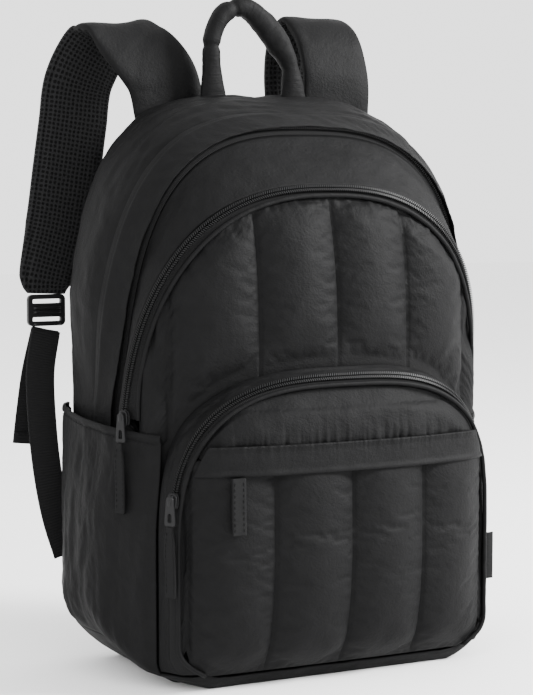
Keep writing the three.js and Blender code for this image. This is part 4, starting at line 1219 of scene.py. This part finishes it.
def grab_handle():
    """A stuffed tube, twisted and pinched where it bends."""
    count = 181
    middles = curve(placed(HANDLE, handle_thickness, handle_thickness, HANDLE[0][0]), count)
    width = handle_thickness * spread_column(HANDLE, 3, count)
    thick = handle_thickness * spread_column(HANDLE, 4, count)

    def creased(t, c, s, u, v):
        angle = np.arctan2(s, c)
        twist = 0.12 * abs(np.sin(0.5 * angle + 7 * t)) ** 0.6 - 0.06
        points = [[(a * 17, b, d * 0.8) for b, d in zip(c, s)] for a in t[:, 0]]
        rough = [[noise.fractal(Vector(point), 0.8, 2.0, 3) for point in row] for row in points]
        size = 1 + twist + 0.05 * np.array(rough)
        pinch = 1 - 0.2 * np.exp(-(((t - 0.43) / 0.018) ** 2)) - 0.16 * np.exp(-(((t - 0.2) / 0.014) ** 2))
        return u * size * pinch, v * size * pinch

    body = ribbon(middles, (0, 1, 0), width, thick, 36, 0.9, 0, creased)
    piece = build("handle_loop", [body], "grab_handle")


# Sliders, pulls and tabs
def slider_set(name, rail_a, rail_b, height, turn, width_at):
    """A slider on its chain at a height, with a pull and a cloth tab that hang outside the cloth
    beside it. turn is the way it faces, in radians from the front."""
    shares = np.linspace(-1, 0, 801)
    seats = mix(rail_a(shares), rail_b(shares), 0.5)
    spot = int(np.argmax(seats[:, 2] >= height))
    seat = seats[spot]
    away = np.array([math.sin(turn), -math.cos(turn), 0])
    right = np.array([math.cos(turn), math.sin(turn), 0])
    up = np.array([0, 0, 1.0])

    def outside(distance, thickness):
        while True:
            x, y = seat[0] + distance * away[0], seat[1] + distance * away[1]
            if abs(x) - width_at(y) > thickness:
                return distance
            distance += 0.2

    stand = 2 * CHAIN_HEIGHT + 3 * CLEAR
    nearest = stand + CHAIN_HEIGHT + PULL_THICKNESS / 2 + CLEAR
    pull_out = outside(nearest, 0)
    tab_out = outside(nearest, 0.5 * TAB_THICKNESS)
    chain = unit(seats[min(spot + 12, 800)] - seats[spot - 12])
    centre = seat + away * stand
    body = rounded_outline(8.2, 10.4, 2.6, 0.2)
    side = unit(np.cross(chain, away))
    parts = [plate(body, [], 1.6, centre + out * away, side, chain) for out in (1.2, -1.4)]
    arc = (4, 0), (3.4, 2.2), (0, 3), (-3.4, 2.2), (-4, 0)
    bridge = [centre + chain * a + away * (b + 1.6) for a, b in arc]
    parts.append(ribbon(curve(bridge, 25), side, 3, 1.3, 12, 0.8))
    build(name + "_slider_body", parts, name + "_slider", [lacquer])

    pull_middle = seat + away * pull_out - up * 0.35 * PULL_LENGTH
    outline = rounded_outline(8.6, PULL_LENGTH, 2.2, 0.42)
    upper = [(a, b + 6.6) for a, b in rounded_outline(2.6, 4.2, 1.2)]
    lower = [(a, b - 4.6) for a, b in rounded_outline(4.8, 7.4, 1.8, 0.2)]
    parts = [plate(outline, [upper, lower], PULL_THICKNESS - 0.5, pull_middle, right, up)]
    build(name + "_pull_plate", parts, name + "_pull", [lacquer])

    tab_middle = seat + away * tab_out - up * 2.12 * PULL_LENGTH
    s, t = np.linspace(-1, 1, 9), np.linspace(-0.5, 0.5, 41)
    sway = 0.9 * np.sin(5 * t)[:, None] + np.zeros(9)
    half = 4.3 * mix(1, 0.55, smooth((t - 0.2) / 0.3))[:, None]
    grid = tab_middle + right * (half * s)[..., None] + up * (t * 2.5 * PULL_LENGTH)[:, None, None]
    grid = grid + away * (0.5 * TAB_THICKNESS + 0.5 * sway)[..., None]

    def behind(points):
        return points - 50 * away

    parts = [cloth(grid, TAB_THICKNESS - 0.4, behind)]
    for column in (1, 7):
        parts.append(grid_stitches(grid, (slice(2, -2), column), behind))
    build(name + "_tab_tape", parts, name + "_tab", [tab_tape, thread])


def side_label():
    """A bare cloth label, sewn into the lower pocket's seam."""
    x = lower_zip.half + 2 * CLEAR
    y = mix(lower_side_y, pocket_front, 0.35)
    u, t = np.linspace(0, 1, 11), np.linspace(-0.5, 0.5, 27)
    bend = 0.8 * np.sin(3 * u)[None] * (1 + 0.3 * np.sin(6 * t))[:, None]
    grid = stack(x + 10 * u[None], y - 0.6 - bend, 0.18 * bag_height + 37 * t[:, None])
    part = cloth(grid, 1.2, lambda p: p + (0, 50, 0))
    build("side_label_tape", [part], "side_label", [patch])


main_gusset()
storm_flap()
back_pad()
base_tray()
zipper("main_zip", front_rail, inner_rail, arch_line, heart, MAIN_CHAIN, 0, "main_zipper")
middle_pocket()
lower_pocket()
side_pocket(-1, "side_pocket_left")
side_pocket(1, "side_pocket_right")
for side in ("left", "right"):
    strap_end = carrying_strap(side)
    webbing(side, ladder_lock(side, *strap_end))
grab_handle()
middle_slider_z = pocket_hem(middle_side_y) + 9
slider_set("middle", middle_zip_rail, middle_rim_rail, middle_slider_z, -1.15, plan_half)
slider_set("lower", lower_zip_rail, lower_rim_rail, LOWER_SLIDER, -1.05, lambda y: 0)
side_label()

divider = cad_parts["divider_wall"]
divider.data.materials.clear()
divider.data.materials.append(lining)


# Floor and light
def floor():
    mesh = bpy.data.meshes.new("floor")
    side = 6
    corners = [(-side, -side, 0), (side, -side, 0), (side, side, 0), (-side, side, 0)]
    mesh.from_pydata(corners, [], [(0, 1, 2, 3)])
    piece = added("floor", mesh)
    grain = ("Object", NOISE, {"Scale": 3, "Detail": 2}, 0, 0)
    material = finish("floor", (0.93, 0.93, 0.93), (0.95, 0.95, 0.95), 0.9, 0.5, [grain])
    mesh.materials.append(material)


def lamp(name, place, target, size, power):
    light = bpy.data.lights.new(name, "AREA")
    light.shape = "DISK"
    light.size = size
    light.energy = power
    holder = added(name, light)
    holder.location = place
    holder.rotation_euler = (Vector(target) - Vector(place)).to_track_quat("-Z", "Y").to_euler()


floor()
world = bpy.data.worlds.new("world")
bpy.context.scene.world = world
world.use_nodes = True
world.node_tree.nodes["Background"].inputs["Color"].default_value = (1, 1, 1, 1)
world.node_tree.nodes["Background"].inputs["Strength"].default_value = 2.3
lamp("key", (1.7, -1.0, 1.3), (0, 0, 0.2), 0.7, 168)
lamp("fill", (-1.6, -1.2, 1.0), (0, 0, 0.2), 1.4, 15)
